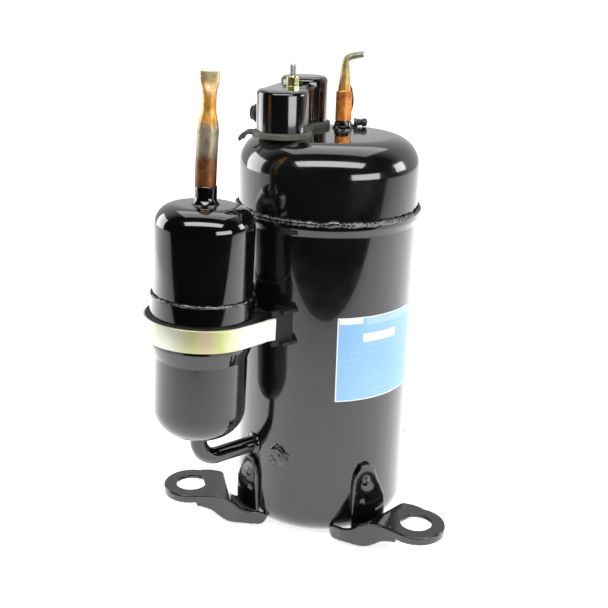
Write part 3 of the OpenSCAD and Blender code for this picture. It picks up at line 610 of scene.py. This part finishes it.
def plug_welds():
    bm = bmesh.new()
    for k in range(3):
        turn = Matrix.Rotation(math.radians(PLUG_AZ + 120 * k), 4, "Z")
        if k:
            # the two on the far side are filled almost flush
            turn = turn @ Matrix.Translation((-0.9, 0, 0))
        part = bmesh.new()
        blob(part, (SHELL_R - 0.5, 0, PLUG_Z), (1.9, 7.5, 7.6), 5 + k, 0.3, 4)
        # the last run curls round a shallow crater
        for step in range(15):
            angle = math.radians(-150 + 17 * step)
            blob(part, (SHELL_R + 0.5, 3.9 * math.cos(angle) - 0.5, PLUG_Z + 4.1 * math.sin(angle)),
                 (1.0, 1.9, 1.9), 9 + k + step * 0.3, 0.4, 3)
        blob(part, (SHELL_R + 0.3, 1.5, PLUG_Z + 1.0), (0.9, 2.6, 2.4), 14 + k, 0.6, 3)
        part.transform(turn)
        add(bm, part)
    piece("plug_weld_nuggets", bm, "housing", "shell_paint", ["plug_welds"], sharp=60)


# ---- Feet ----

# Stations of a foot's sheet from the tab to the pad: front edge (x, y), back edge (x, y), and their heights
FOOT_STATIONS = (
    ((50.8, 31.2), (58.9, 6.4), -12.0, -6.0),
    ((56.0, 32.4), (61.5, 1.0), -12.0, -9.0),
    ((61.5, 31.0), (64.0, -5.0), -10.0, -9.0),
    ((65.5, 28.0), (66.0, -10.5), -5.0, -4.0),
    ((68.0, 25.6), (67.0, -12.6), 1.2, 1.5),
    ((72.5, 22.8), (72.0, -15.0), 2.9, 2.9),
    ((82.4, 19.2), (82.4, -17.8), 3.0, 3.0),
)
# The web along its path: x, y, top and bottom
WEB_STATIONS = ((44.0, 31.0, -9.0, -11.2), (47.5, 32.6, -6.5, -14.6), (52.0, 33.0, -5.2, -14.4),
                (57.0, 32.8, -4.3, -13.7), (62.4, 30.8, -2.6, -13.7), (66.0, 28.2, 0.2, -14.4),
                (70.5, 24.6, 2.4, -14.4), (74.5, 22.0, 2.9, -12.4), (79.0, 20.0, 2.9, -9.0),
                (83.0, 18.9, 2.9, -7.2), (90.0, 17.8, 2.9, -5.0))
# The tab's upper edge: distance along the shell from its middle, height above the plate's underside
TAB_EDGE = ((-14.0, 2.4), (-12.5, 10.7), (-6.7, 22.5), (-2.4, 32.7), (1.0, 36.3), (3.3, 36.9), (8.2, 36.0),
            (12.2, 29.8), (13.6, 21.8))


def interpolate(table, x):
    for (x0, y0), (x1, y1) in zip(table, table[1:]):
        if x <= x1:
            return y0 + (y1 - y0) * max(0.0, (x - x0) / (x1 - x0))
    return table[-1][1]


def foot_tab(bm, turn, top):
    """The upright tab, curved to the shell, with its two weld dimples."""
    t = 2.6
    rows = []
    for k in range(47):
        y = -14.0 + 27.6 * k / 46
        edge = interpolate(TAB_EDGE, y)
        edge = 10 + (edge - 10) * (top - 10) / 26.9 if edge > 10 else edge
        angle = turn + math.degrees(y / (SHELL_R + t))
        rows.append([polar(r, angle, z) for r, z in ((SHELL_R + 0.1, -9.5), (SHELL_R + 0.1 + t, -9.5),
                                                      (SHELL_R + 0.1 + t, edge), (SHELL_R + 0.1, edge))])
    loft(bm, rows)
    for y, z, wide, tall in ((4.0, top - 12, 2.2, 2.8), (6.2, 9.0, 1.7, 1.9)):
        dimple = bmesh.new()
        blob(dimple, (SHELL_R + t + 0.1, 0, z), (0.9, wide, tall), y, 0.2)
        dimple.transform(Matrix.Rotation(math.radians(turn) + y / (SHELL_R + t), 4, "Z"))
        add(bm, dimple)


def foot(name, azimuth, hand, turn, top):
    t = 2.8
    bm = bmesh.new()
    # pad round the hole
    lathe(bm, [(HOLE_R, 0.2), (PAD_R - 0.5, 0.2), (PAD_R - 0.5, 3.0), (HOLE_R, 3.0)], steps=96)
    bm.transform(Matrix.Translation((FOOT_R, 0, 0)))
    # shallow down-turned rim round the pad
    rim = []
    for k in range(25):
        angle = 92 - 205 * k / 24
        here = polar(PAD_R - 1.2, angle) + Vector((FOOT_R, 0, 0))
        side = polar(1.2, angle)
        rim.append([here + side - AXIS_Z * 2.7, here + side + AXIS_Z * 2.9,
                    here - side + AXIS_Z * 2.9, here - side - AXIS_Z * 2.7])
    loft(bm, rim)
    # web: the front edge turned down and carried under the shell
    path = spline([(x, y, 0) for x, y, _, _ in WEB_STATIONS], 5)
    levels = spline([(high, low, 0) for _, _, high, low in WEB_STATIONS], 5)
    web = []
    for (place, side, _), level in zip(frames(path, Vector((0, 1, 0))), levels):
        across = Vector((side.x, side.y, 0)).normalized() * 1.35
        web.append([place - across + AXIS_Z * level.y, place + across + AXIS_Z * level.y,
                    place + across + AXIS_Z * level.x, place - across + AXIS_Z * level.x])
    loft(bm, web)
    # sheet between the edges
    front = spline([(*f, z) for f, b, z, _ in FOOT_STATIONS], 5)
    back = spline([(*b, z) for f, b, _, z in FOOT_STATIONS], 5)
    sheet = []
    for f, b in zip(front, back):
        row = [f.lerp(b, k / 8) - AXIS_Z * 1.0 * math.sin(math.pi * k / 8) * (1 - len(sheet) / len(front))
               for k in range(9)]
        sheet.append(row + [p - AXIS_Z * t for p in reversed(row)])
    loft(bm, sheet)
    foot_tab(bm, turn, top)
    bm = fused(bm, 0.6, 4)
    for v in bm.verts:
        v.co.z = max(v.co.z, WEB_LOW)
        if v.co.xy.length > PAD_R + FOOT_R:
            v.co.xy = v.co.xy.normalized() * (PAD_R + FOOT_R)
    mirror = Matrix.Scale(hand, 4, Vector((0, 1, 0)))
    piece(name + "_pressed", bm, "housing", "shell_paint", [name],
          Matrix.Rotation(math.radians(azimuth), 4, "Z") @ mirror, sharp=70)


# ---- Accumulator ----

def accumulator():
    upper = [(0, ACC_TOP), (ACC_R, ACC_TOP, 13), (ACC_R, -6), (ACC_R - ACC_WALL, -6),
             (ACC_R - ACC_WALL, ACC_TOP - ACC_WALL, 11.4), (0, ACC_TOP - ACC_WALL)]
    bm = bmesh.new()
    lathe(bm, rounded(upper, step=5.0), steps=160, closed=False)
    piece("accumulator_upper_drawn", bm, "housing", "accumulator_paint", ["accumulator_upper_shell"], IN_ACC)
    lower = [(0, ACC_BOTTOM), (ACC_LOW_R, ACC_BOTTOM, 19), (ACC_LOW_R, -39, 4), (MOUTH_R, -30, 4),
             (MOUTH_R, -0.1, 0.5),
             (ACC_R + 0.05, -0.1), (ACC_R + 0.05, -8), (ACC_R - ACC_WALL, -9), (ACC_R - ACC_WALL - 1, -32),
             (ACC_LOW_R - ACC_WALL, -40), (ACC_LOW_R - ACC_WALL, ACC_BOTTOM + ACC_WALL, 17),
             (0, ACC_BOTTOM + ACC_WALL)]
    bm = bmesh.new()
    lathe(bm, rounded(lower, step=5.0), steps=160, closed=False)
    piece("accumulator_lower_drawn", bm, "housing", "accumulator_paint", ["accumulator_lower_shell"], IN_ACC)
    bm = bmesh.new()
    bead(bm, ACC_R + 0.75, 0.1, 0.85, 1.0, 7.0, 600)
    piece("accumulator_weld_bead", bm, "housing", "bead_paint", ["accumulator_weld"], IN_ACC, sharp=60)


def suction_line():
    bm = bmesh.new()
    sleeve = [(5.95, ACC_TOP - 8), (6.6, ACC_TOP - 8), (6.6, ACC_TOP + 10.6, 0.4),
              (6.38, ACC_TOP + 10.98, 0.2), (5.95, ACC_TOP + 10.98)]
    lathe(bm, rounded(sleeve), steps=64)
    collar = [(6.6, ACC_TOP - 0.6), (9.2, ACC_TOP - 0.4), (8.2, ACC_TOP + 0.5, 0.5),
              (6.9, ACC_TOP + 2.4, 1), (6.6, ACC_TOP + 4)]
    lathe(bm, rounded(collar), steps=64)
    piece("suction_stub_sleeve", bm, "housing", "accumulator_paint", ["suction_stub"], IN_ACC)
    # tube: full bore, a rolled shoulder, a slim neck, then a pinched flat tip
    full = SUCTION_R
    sizes = ((-10, 5.9, 5.9), (10.8, 5.9, 5.9), (11.1, full, full), (30, full, full), (42, full, full),
             (44.5, 6.25, 6.25), (48, 5.6, 5.6), (51.5, 4.7, 4.7), (55, 4.2, 4.2), (61, 4.05, 4.1),
             (65, 4.3, 3.6), (68, 4.9, 2.5), (70.5, 5.5, 1.75), (74, 5.7, 1.6), (76, 5.7, 1.5),
             (76.4, 5.5, 1.3))
    heights = spline([(h, a, b) for h, a, b in sizes], 4)
    path = [Vector((0.35 * math.sin((p.x - 40) * 0.05), 0.25 * math.sin(p.x * 0.08),
                    ACC_TOP + p.x)) for p in heights]
    bm = bmesh.new()
    across = Vector((0.7815, -0.6239, 0))
    tube(bm, path, [(p.y, p.z) for p in heights], 48, up=across, power=2.15)
    piece("suction_tube_crimped", bm, "housing", "copper", ["suction_tube"], IN_ACC, sharp=50)


def outlet_pipe():
    foot_point = IN_ACC @ Vector((0, 0, ACC_BOTTOM))
    down = (IN_ACC.to_3x3() @ Vector((0, 0, -1))).normalized()
    inside = foot_point - down * 6
    turn = math.pi / 2 + ACC_LEAN
    drop = (foot_point.z - PIPE_BEND * (1 + math.sin(ACC_LEAN)) - PORT_Z) / math.cos(ACC_LEAN)
    bend_start = foot_point + down * drop
    centre = bend_start + Vector((math.cos(ACC_LEAN), 0, -math.sin(ACC_LEAN))) * PIPE_BEND
    path = [inside, foot_point, bend_start - down * 0.5]
    for k in range(17):
        a = turn * k / 16
        spoke = Matrix.Rotation(-a, 3, "Y") @ (bend_start - centre)
        path.append(centre + spoke)
    end = path[-1]
    path += [Vector((x, 0, PORT_Z)) for x in (end.x + 6, -SHELL_R - 6, -SHELL_R + 6)]
    bm = bmesh.new()
    tube(bm, path, [(PIPE_R, PIPE_R)] * len(path), 40, wall=1.0)
    piece("outlet_pipe_bent", bm, "housing", "accumulator_paint", ["accumulator_outlet_pipe"], sharp=50)
    bm = bmesh.new()
    profile = [(PIPE_R + 0.05, 54), (PIPE_R + 2.0, 54), (PIPE_R + 2.1, SHELL_R - 1),
               (PIPE_R + 2.0, SHELL_R + 0.8, 0.6),
               (PIPE_R + 0.9, SHELL_R + 1.9, 0.6), (PIPE_R + 0.05, SHELL_R + 2.4)]

    def uneven(a, r, z):
        lump = noise.noise(Vector((math.cos(a) * 1.6, math.sin(a) * 1.6, z * 0.2)))
        return (lump * 0.4, lump * 0.4) if z > SHELL_R - 2 and r > PIPE_R + 0.5 else (0, 0)
    lathe(bm, rounded(profile), steps=72, wobble=uneven)
    place = Matrix.Translation((0, 0, PORT_Z)) @ Matrix.Rotation(math.radians(-90), 4, "Y")
    piece("inlet_collar_weld", bm, "housing", "shell_paint", ["inlet_collar"], place, sharp=60)


def strap():
    """A band round the accumulator whose two arms run to the bracket's flanges."""
    end = Vector((27.0, BRACKET_Y + STRAP_T, 0))
    lean = math.atan2(end.y, end.x)
    leave = math.degrees(lean + math.acos((STRAP_R - 0.75) / end.length))
    middle = STRAP_R - STRAP_T / 2
    arm = [Vector((33.4, BRACKET_Y + STRAP_T / 2, 0)), Vector((30.5, BRACKET_Y + STRAP_T / 2, 0)),
           Vector((27.4, BRACKET_Y + STRAP_T / 2, 0)), Vector((24.0, BRACKET_Y + 1.9, 0))]
    path = list(arm)
    for k in range(97):
        path.append(polar(middle, leave + (360 - 2 * leave) * k / 96))
    path += [Vector((p.x, -p.y, 0)) for p in reversed(arm)]
    section = rounded([(-STRAP_T / 2, 0, 0.6), (STRAP_T / 2, 0, 0.6), (STRAP_T / 2, STRAP_H, 0.6),
                       (-STRAP_T / 2, STRAP_H, 0.6)], step=22)
    rows = []
    for p, side, _ in frames(path, Vector((0, 1, 0))):
        ripple = 0.12 * noise.noise(p * 0.05)
        rows.append([p + side * (q.x + ripple) + AXIS_Z * (STRAP_LOW + q.y) for q in section])
    bm = bmesh.new()
    loft(bm, rows)
    piece("strap_band", bm, "housing", "zinc_strap", ["accumulator_strap"], IN_ACC, sharp=50)


# ---- Discharge tube and lead clip ----

def discharge_line():
    place = Matrix.Translation(DISCHARGE)
    bm = bmesh.new()
    stub = [(3.8, CROWN_Z - 8), (4.8, CROWN_Z - 8), (4.8, CROWN_Z + 16), (3.8, CROWN_Z + 16)]
    lathe(bm, rounded(stub), steps=48)
    cup = [(4.7, CROWN_Z - 0.4), (7.6, CROWN_Z - 0.2), (6.9, CROWN_Z + 0.5, 0.4), (5.9, CROWN_Z + 1.8, 0.8),
           (5.5, CROWN_Z + 4.6), (4.7, CROWN_Z + 4.9)]
    lathe(bm, rounded(cup), steps=64)
    piece("discharge_stub_sleeve", bm, "housing", "shell_paint", ["discharge_stub"], place)
    base = CROWN_Z + 5.6
    sizes = [(0, 5.25), (0.6, 5.25), (9, 5.25), (17.2, 5.25), (17.9, 5.1), (18.6, 4.3), (20.2, 4.05),
             (24, 3.6), (30, 2.95), (34, 2.35), (36, 2.15)]
    path = [Vector((0.4 * math.sin(h * 0.05), 0.2 * math.sin(h * 0.09), base + h)) for h, _ in sizes]
    radii = [(r, r) for _, r in sizes]
    bend = [(0.9, -0.4, 38.6, 2.1, 2.1), (2.5, -1.6, 40.0, 2.15, 2.1), (4.8, -3.4, 40.9, 2.2, 2.0),
            (7.2, -5.3, 41.5, 2.2, 1.95), (9.0, -6.7, 41.9, 2.15, 1.85), (9.3, -6.95, 41.95, 1.7, 1.5)]
    for x, y, h, a, b in bend:
        path.append(Vector((x, y, base + h)))
        radii.append((a, b))
    joined = spline(path, 3)
    sized = spline([(a, b, 0) for a, b in radii], 3)
    bm = bmesh.new()
    tube(bm, joined, [(p.x, p.y) for p in sized], 40, up=Vector((0.62, 0.78, 0)))
    piece("discharge_tube_pinched", bm, "housing", "copper_discharge", ["discharge_tube"], place, sharp=50)


def lead_clip():
    bm = bmesh.new()
    # arched finger behind the discharge tube
    rows = []
    for k in range(25):
        t = k / 24
        angle = math.radians(-36 + 76 * t)
        centre = Vector((6.0 - 22 + 22 * math.cos(angle), 9.2, 17.2 + 22 * math.sin(angle)))
        out = Vector((math.cos(angle), 0, math.sin(angle))) * 0.8
        wide = Vector((0, 2.3 - 0.6 * t, 0))
        rows.append([centre - out - wide, centre + out - wide, centre + out + wide, centre - out + wide])
    loft(bm, rows)
    foot_plate = [(1.0, 6.9), (10.0, 6.9), (10.0, 13.0), (1.0, 13.0)]
    extrude(bm, foot_plate, 0.05, 1.5)
    ear = bmesh.new()
    extrude(ear, rounded([(6.9, 0.4), (13.0, 0.4), (13.0, 5.5, 2.5), (6.9, 5.5, 2.5)]), 7.5, 9.3)
    ear.transform(Matrix(((0, 0, 1, 0), (1, 0, 0, 0), (0, 1, 0, 0), (0, 0, 0, 1))))
    add(bm, ear)
    piece("lead_clip_bent", bm, "housing", "shell_paint", ["lead_clip"], IN_CLIP, sharp=40, bevel=0.3)
    bm = bmesh.new()
    screw = [(0, 0), (2.2, 0), (2.2, 2.5, 0.4), (1.8, 2.9, 0.3), (2.0, 3.2, 0.3), (2.65, 3.5, 0.5),
             (2.65, 6.4, 1.0), (0, 7.2)]
    lathe(bm, rounded(screw, closed=False), steps=48, closed=False)
    place = IN_CLIP @ Matrix.Translation((9.5, 9.6, 2.9)) @ LAID_OUTWARDS
    piece("earth_screw_head", bm, "housing", "phenolic", ["earth_screw"], place, sharp=40)


# ---- Terminal cover ----

def cover_plan(grow, samples=260, soften=4):
    """The cover's outline grown by a distance: two round lobes and a web, with eased inner corners."""
    def reach(angle):
        direction = Vector((math.cos(angle), math.sin(angle)))
        best = 0.0
        for y, r in ((LOBE_Y, LOBE_R), (-LOBE_Y, LOBE_R - 0.5)):
            radius = r + grow
            along = direction.y * y
            gap = along * along - y * y + radius * radius
            if gap > 0:
                best = max(best, along + math.sqrt(gap))
        x0, x1 = -NECK_IN - grow, WEB_OUT + grow
        limit = (x1 if direction.x > 0 else x0) / direction.x if abs(direction.x) > 1e-9 else 1e9
        if abs(limit * direction.y) <= LOBE_Y:
            best = max(best, limit)
        return direction * best
    dense = [reach(2 * math.pi * k / 1440) for k in range(1440)]
    length = [0.0]
    for a, b in zip(dense, dense[1:] + dense[:1]):
        length.append(length[-1] + (b - a).length)
    out, j = [], 0
    for k in range(samples):
        want = length[-1] * k / samples
        while length[j + 1] < want:
            j += 1
        t = (want - length[j]) / (length[j + 1] - length[j])
        out.append(dense[j].lerp(dense[(j + 1) % 1440], t))
    for _ in range(soften):
        out = [(out[k - 1] + out[k] * 2 + out[(k + 1) % samples]) / 4 for k in range(samples)]
    return out


def cover_prism(bm, grow, low, high, edge, hole=0.0, seat=0.0):
    """An upright prism on the cover's plan with a rounded top edge, and a sunk seat for the nut."""
    arc = [math.radians(a) for a in range(0, 91, 10)]
    levels = [(0.0, low)] + [(-edge * (1 - math.cos(a)), high - edge + edge * math.sin(a)) for a in arc]
    plan = cover_plan(grow)
    centre_line = [Vector((max(-4.0, min(6.0, p.x)), max(-LOBE_Y, min(LOBE_Y, p.y)))) for p in plan]
    rings = []
    for inset, z in levels:
        ring = []
        for p, c in zip(plan, centre_line):
            inward = (c - p).normalized()
            q = p - inward * inset
            ring.append(bm.verts.new((q.x, q.y, z)))
        rings.append(ring)
    for a, b in zip(rings, rings[1:]):
        bridge(bm, a, b)
    bm.faces.new(rings[0])
    if not hole:
        bm.faces.new(rings[-1])
        return
    mouth = [bm.verts.new((hole * math.cos(a), STUD_Y + hole * math.sin(a), high))
             for a in (2 * math.pi * k / 48 for k in range(48))]
    floor = [bm.verts.new((v.co.x, v.co.y, seat)) for v in mouth]
    bridge(bm, mouth, floor)
    bm.faces.new(floor)
    edges = []
    for ring in (rings[-1], mouth):
        for a, b in zip(ring, ring[1:] + ring[:1]):
            edges.append(bm.edges.get((a, b)) or bm.edges.new((a, b)))
    bmesh.ops.triangle_fill(bm, use_beauty=True, use_dissolve=False, edges=edges)


def terminal_cover():
    bm = bmesh.new()
    cover_prism(bm, 0.0, COVER_Z, COVER_Z + COVER_H, 3.0, hole=6.0, seat=NUT_SEAT_Z)
    lobe = [(0, COVER_Z + 0.1), (LOBE_R - 0.4, COVER_Z + 0.1), (LOBE_R - 0.5, COVER_Z + HIGH_LOBE_H, 3.5),
            (0, COVER_Z + HIGH_LOBE_H)]
    high = bmesh.new()
    lathe(high, rounded(lobe), steps=96, closed=False)
    high.transform(Matrix.Translation((0, -LOBE_Y, 0)))
    add(bm, high)
    piece("terminal_cover_moulded", bm, "cover", "cover_plastic", ["terminal_cover"], IN_COVER, sharp=35)
    bm = bmesh.new()
    grommet = [(0, -4), (3.5, -4), (3.5, 0), (6, 0.2, 0.6), (6, 6.2, 1.2), (5, 6.6, 0.5), (4.1, 9),
               (2.8, 9, 0.3), (2.8, 4), (0, 4)]
    lathe(bm, rounded(grommet, closed=False), steps=64, closed=False)
    place = IN_COVER @ Matrix.Translation((WEB_OUT, 12, COVER_Z + 9)) @ LAID_OUTWARDS
    piece("lead_boot_grommet", bm, "cover", "rubber_black", ["lead_boot"], place, sharp=50)


def cover_gasket():
    bm = bmesh.new()
    cover_prism(bm, 2.5, CROWN_Z + 0.1, CROWN_Z + 3.6, 1.2)
    # forked tail that curls over the cap's shoulder
    for turn, reach in ((22, 9.6), (4, 8.0)):
        start = Vector((0, LOBE_Y, 0)) + polar(LOBE_R + 1.0, turn, CROWN_Z + 1.8)
        along = polar(1.0, turn)
        path = spline([start, start + along * 0.4 * reach + AXIS_Z * 0.5,
                       start + along * 0.8 * reach - AXIS_Z * 1.4,
                       start + along * reach - AXIS_Z * 4.6], 6)
        tube(bm, path, [(1.25, 0.9)] * (len(path) - 2) + [(1.0, 0.75), (0.5, 0.4)], 16, up=AXIS_Z)
    piece("cover_gasket_moulded", bm, "housing", "rubber_grey", ["cover_gasket"], IN_COVER, sharp=40)


def stud_and_nut():
    place = IN_COVER @ Matrix.Translation((0, STUD_Y, 0))
    # rolled thread on the stud: a ridge that climbs with each turn
    bm = bmesh.new()
    steps, pitch, low = 24, 0.7, 262.0
    rings = [[bm.verts.new(polar(STUD_R - 0.25, 15 * k, z)) for k in range(steps)]
             for z in (CROWN_Z + 0.1, low - 0.1)]
    rows = int((STUD_TOP - 0.6 - low) / pitch * 6)
    for i in range(rows + 1):
        z = low + pitch * i / 6
        ring = []
        for k in range(steps):
            phase = (i / 6 - k / steps) % 1.0
            ring.append(bm.verts.new(polar(STUD_R - 0.36 * abs(2 * phase - 1), 15 * k, z)))
        rings.append(ring)
    rings.append([bm.verts.new(polar(STUD_R - 0.7, 15 * k, STUD_TOP)) for k in range(steps)])
    for a, b in zip(rings, rings[1:]):
        bridge(bm, a, b)
    bm.faces.new(rings[0])
    bm.faces.new(rings[-1])
    piece("cover_stud_threaded", bm, "housing", "bare_steel", ["cover_stud"], place, sharp=80)
    bm = bmesh.new()
    lathe(bm, rounded([(STUD_R + 0.25, 0), (4.8, 0, 0.25), (4.8, 1, 0.25), (STUD_R + 0.25, 1)]), steps=48)
    seat = place @ Matrix.Translation((0, 0, NUT_SEAT_Z + 0.02))
    piece("cover_washer_flat", bm, "cover", "zinc_nut", ["cover_washer"], seat)
    # flanged hexagon nut with chamfered corners and a bored middle
    hexagon = [(STUD_R + 0.06, 0), (4.6, 0, 0.3), (4.6, 0.9, 0.3), (4.2, 1.3), (4.1, 6.3, 0.2), (3.4, 7.1),
               (2.9, 7.1), (STUD_R + 0.06, 6.4)]
    bm = bmesh.new()
    lathe(bm, rounded(hexagon), steps=96)
    for v in bm.verts:
        if v.co.z > 1.2 and v.co.xy.length > 3:
            angle = math.atan2(v.co.y, v.co.x) % (math.pi / 3) - math.pi / 6
            flat = 3.62 / math.cos(angle)
            v.co.xy = v.co.xy.normalized() * min(v.co.xy.length, flat)
    on_washer = place @ Matrix.Translation((0, 0, NUT_SEAT_Z + 1.04))
    piece("cover_nut_flanged", bm, "nut", "zinc_nut", ["cover_nut"], on_washer, sharp=28)


def name_label():
    """A foil label laid round the shell, just proud of the paint."""
    bm = bmesh.new()
    uv = bm.loops.layers.uv.new("plan")
    columns = 64
    skins = []
    for radius in (SHELL_R + 0.16, SHELL_R + 0.03):
        skins.append([[bm.verts.new(polar(radius, LABEL_START + LABEL_SPAN * i / columns, z))
                       for i in range(columns + 1)] for z in (LABEL_LOW, LABEL_HIGH)])
    for skin in skins:
        for i in range(columns):
            bm.faces.new([skin[0][i], skin[0][i + 1], skin[1][i + 1], skin[1][i]])
    front, under = skins
    loop_front = front[0] + front[1][::-1]
    loop_under = under[0] + under[1][::-1]
    bridge(bm, loop_front, loop_under)
    for face in bm.faces:
        for loop in face.loops:
            angle = math.degrees(math.atan2(loop.vert.co.y, loop.vert.co.x))
            loop[uv].uv = ((angle - LABEL_START) / LABEL_SPAN,
                           (loop.vert.co.z - LABEL_LOW) / (LABEL_HIGH - LABEL_LOW))
    piece("name_label_foil", bm, "housing", "label_paper", ["name_label"], sharp=40)


# ---- Build ----

lower_shell()
top_cap()
seam_weld()
plug_welds()
for foot_values in FEET:
    foot(*foot_values)
accumulator()
suction_line()
outlet_pipe()
strap()
discharge_line()
lead_clip()
terminal_cover()
cover_gasket()
stud_and_nut()
name_label()

# CAD pieces that are shown as they are get the same kinds of finish
for entry in frame["record"]["subparts"]:
    node = frame["nodes"][entry["node"]]
    for holder in node.material_slots:
        holder.material = MATERIALS[entry["material_slot"]]


# ---- Stage, light and camera ----

AWAY = Vector((0.6239, 0.7815, 0))      # level direction from the camera to the object
RIGHT = Vector((0.7815, -0.6239, 0))    # the picture's right
FLOOR_Z = (BOTTOM_Z - 0.6) * MM


def stage_point(right, away, z):
    return RIGHT * right + AWAY * away + AXIS_Z * z


def floor():
    """A pale table that ends a little in front of the object, as in a small product studio. It glows with its
    own colour, a painted light that turns darker towards its front edge.
    """
    mesh = bpy.data.meshes.new("floor")
    edges = ((-2.2, -0.42), (2.2, -0.42), (2.2, 3.5), (-2.2, 3.5))
    mesh.from_pydata([stage_point(r, a, FLOOR_Z) for r, a in edges], [], [(0, 1, 2, 3)])
    obj = bpy.data.objects.new("floor", mesh)
    bpy.context.collection.objects.link(obj)
    s = Shade("floor_painted_glow", IOR=1.45, Specular_IOR_Level=0.1, Emission_Strength=1.0)
    # painted light: the table glows with its own colour, and this painted glow darkens towards its front
    # edge, in front of what the camera sees
    x, y, _ = s.split(s.object)
    away = s.maths("ADD", s.maths("MULTIPLY", x, AWAY.x), s.maths("MULTIPLY", y, AWAY.y))
    near = s.maths("ADD", away, s.maths("MULTIPLY", s.noise(3, 3, 0.5), 0.02))
    painted_glow = s.ramp(s.maths("ADD", near, 0.5), (0.06, 0.46), (0.36, 0.74), (0.95, 1.0))
    # painted light: the same colour drives the table's glow
    s.tree.links.new(painted_glow, s.shader.inputs["Emission Color"])
    obj.data.materials.append(s.done(painted_glow, 0.85))


def softbox(name, azimuth, elevation, distance, size, watts, aim=(0, 0, 0.15)):
    """A rectangular light; azimuth 0 stands at the camera, positive to the picture's right."""
    a, e = math.radians(azimuth), math.radians(elevation)
    direction = (-AWAY * math.cos(a) + RIGHT * math.sin(a)) * math.cos(e) + AXIS_Z * math.sin(e)
    data = bpy.data.lights.new(name, "AREA")
    data.shape = "RECTANGLE"
    data.size, data.size_y = size
    data.energy = watts
    light = bpy.data.objects.new(name, data)
    bpy.context.collection.objects.link(light)
    light.location = Vector(aim) + direction * distance
    light.rotation_mode = "QUATERNION"
    light.rotation_quaternion = direction.to_track_quat("Z", "Y")
    light.visible_camera = False


def world():
    """White to the eye; to reflections, a bright backdrop behind the object and a dark room in front."""
    made = bpy.data.worlds.new("studio")
    bpy.context.scene.world = made
    made.use_nodes = True
    tree = made.node_tree
    tree.nodes.clear()
    out = tree.nodes.new("ShaderNodeOutputWorld")
    seen, mirrored = tree.nodes.new("ShaderNodeBackground"), tree.nodes.new("ShaderNodeBackground")
    seen.inputs["Color"].default_value = (1, 1, 1, 1)
    seen.inputs["Strength"].default_value = 1.0
    where = tree.nodes.new("ShaderNodeTexCoord").outputs["Generated"]
    dot = tree.nodes.new("ShaderNodeVectorMath")
    dot.operation = "DOT_PRODUCT"
    tree.links.new(where, dot.inputs[0])
    dot.inputs[1].default_value = AWAY
    ramp = tree.nodes.new("ShaderNodeValToRGB")
    tree.links.new(dot.outputs["Value"], ramp.inputs["Fac"])
    ramp.color_ramp.elements[0].position = 0.08
    ramp.color_ramp.elements[0].color = (0.004, 0.004, 0.004, 1)
    ramp.color_ramp.elements[1].position = 0.45
    ramp.color_ramp.elements[1].color = (1, 1, 1, 1)
    tree.links.new(ramp.outputs["Color"], mirrored.inputs["Color"])
    mirrored.inputs["Strength"].default_value = 0.55
    path = tree.nodes.new("ShaderNodeLightPath")
    mix = tree.nodes.new("ShaderNodeMixShader")
    tree.links.new(path.outputs["Is Camera Ray"], mix.inputs[0])
    tree.links.new(mirrored.outputs[0], mix.inputs[1])
    tree.links.new(seen.outputs[0], mix.inputs[2])
    tree.links.new(mix.outputs[0], out.inputs[0])


def camera():
    data = bpy.data.cameras.new("camera")
    data.lens = 56.52
    data.sensor_width = 36
    obj = bpy.data.objects.new("camera", data)
    bpy.context.collection.objects.link(obj)
    eye, target = Vector((-0.3922, -0.4690, 0.3331)), Vector((-0.01083, 0.00865, 0.12859))
    obj.rotation_mode = "QUATERNION"
    obj.rotation_quaternion = ((target - eye).to_track_quat("-Z", "Y")
                               @ Matrix.Rotation(math.radians(1.569), 3, "Z").to_quaternion())
    obj.location = eye
    data.clip_start, data.clip_end = 0.01, 20
    bpy.context.scene.camera = obj


floor()
world()
softbox("overhead", 0, 50, 0.95, (1.35, 0.30), 8.5)
softbox("window_right", 44, 4, 0.95, (0.62, 0.26), 3.2, aim=(0, 0, 0.2))
softbox("side_right", 98, 14, 0.95, (0.3, 0.3), 1.8, aim=(0, 0, 0.2))
softbox("side_left", -108, 10, 0.9, (0.5, 0.5), 3.2, aim=(0, 0, 0.2))
softbox("top", 178, 74, 1.2, (1.4, 0.9), 7)
camera()

view = bpy.context.scene.view_settings
view.view_transform = "Standard"
view.look = "None"
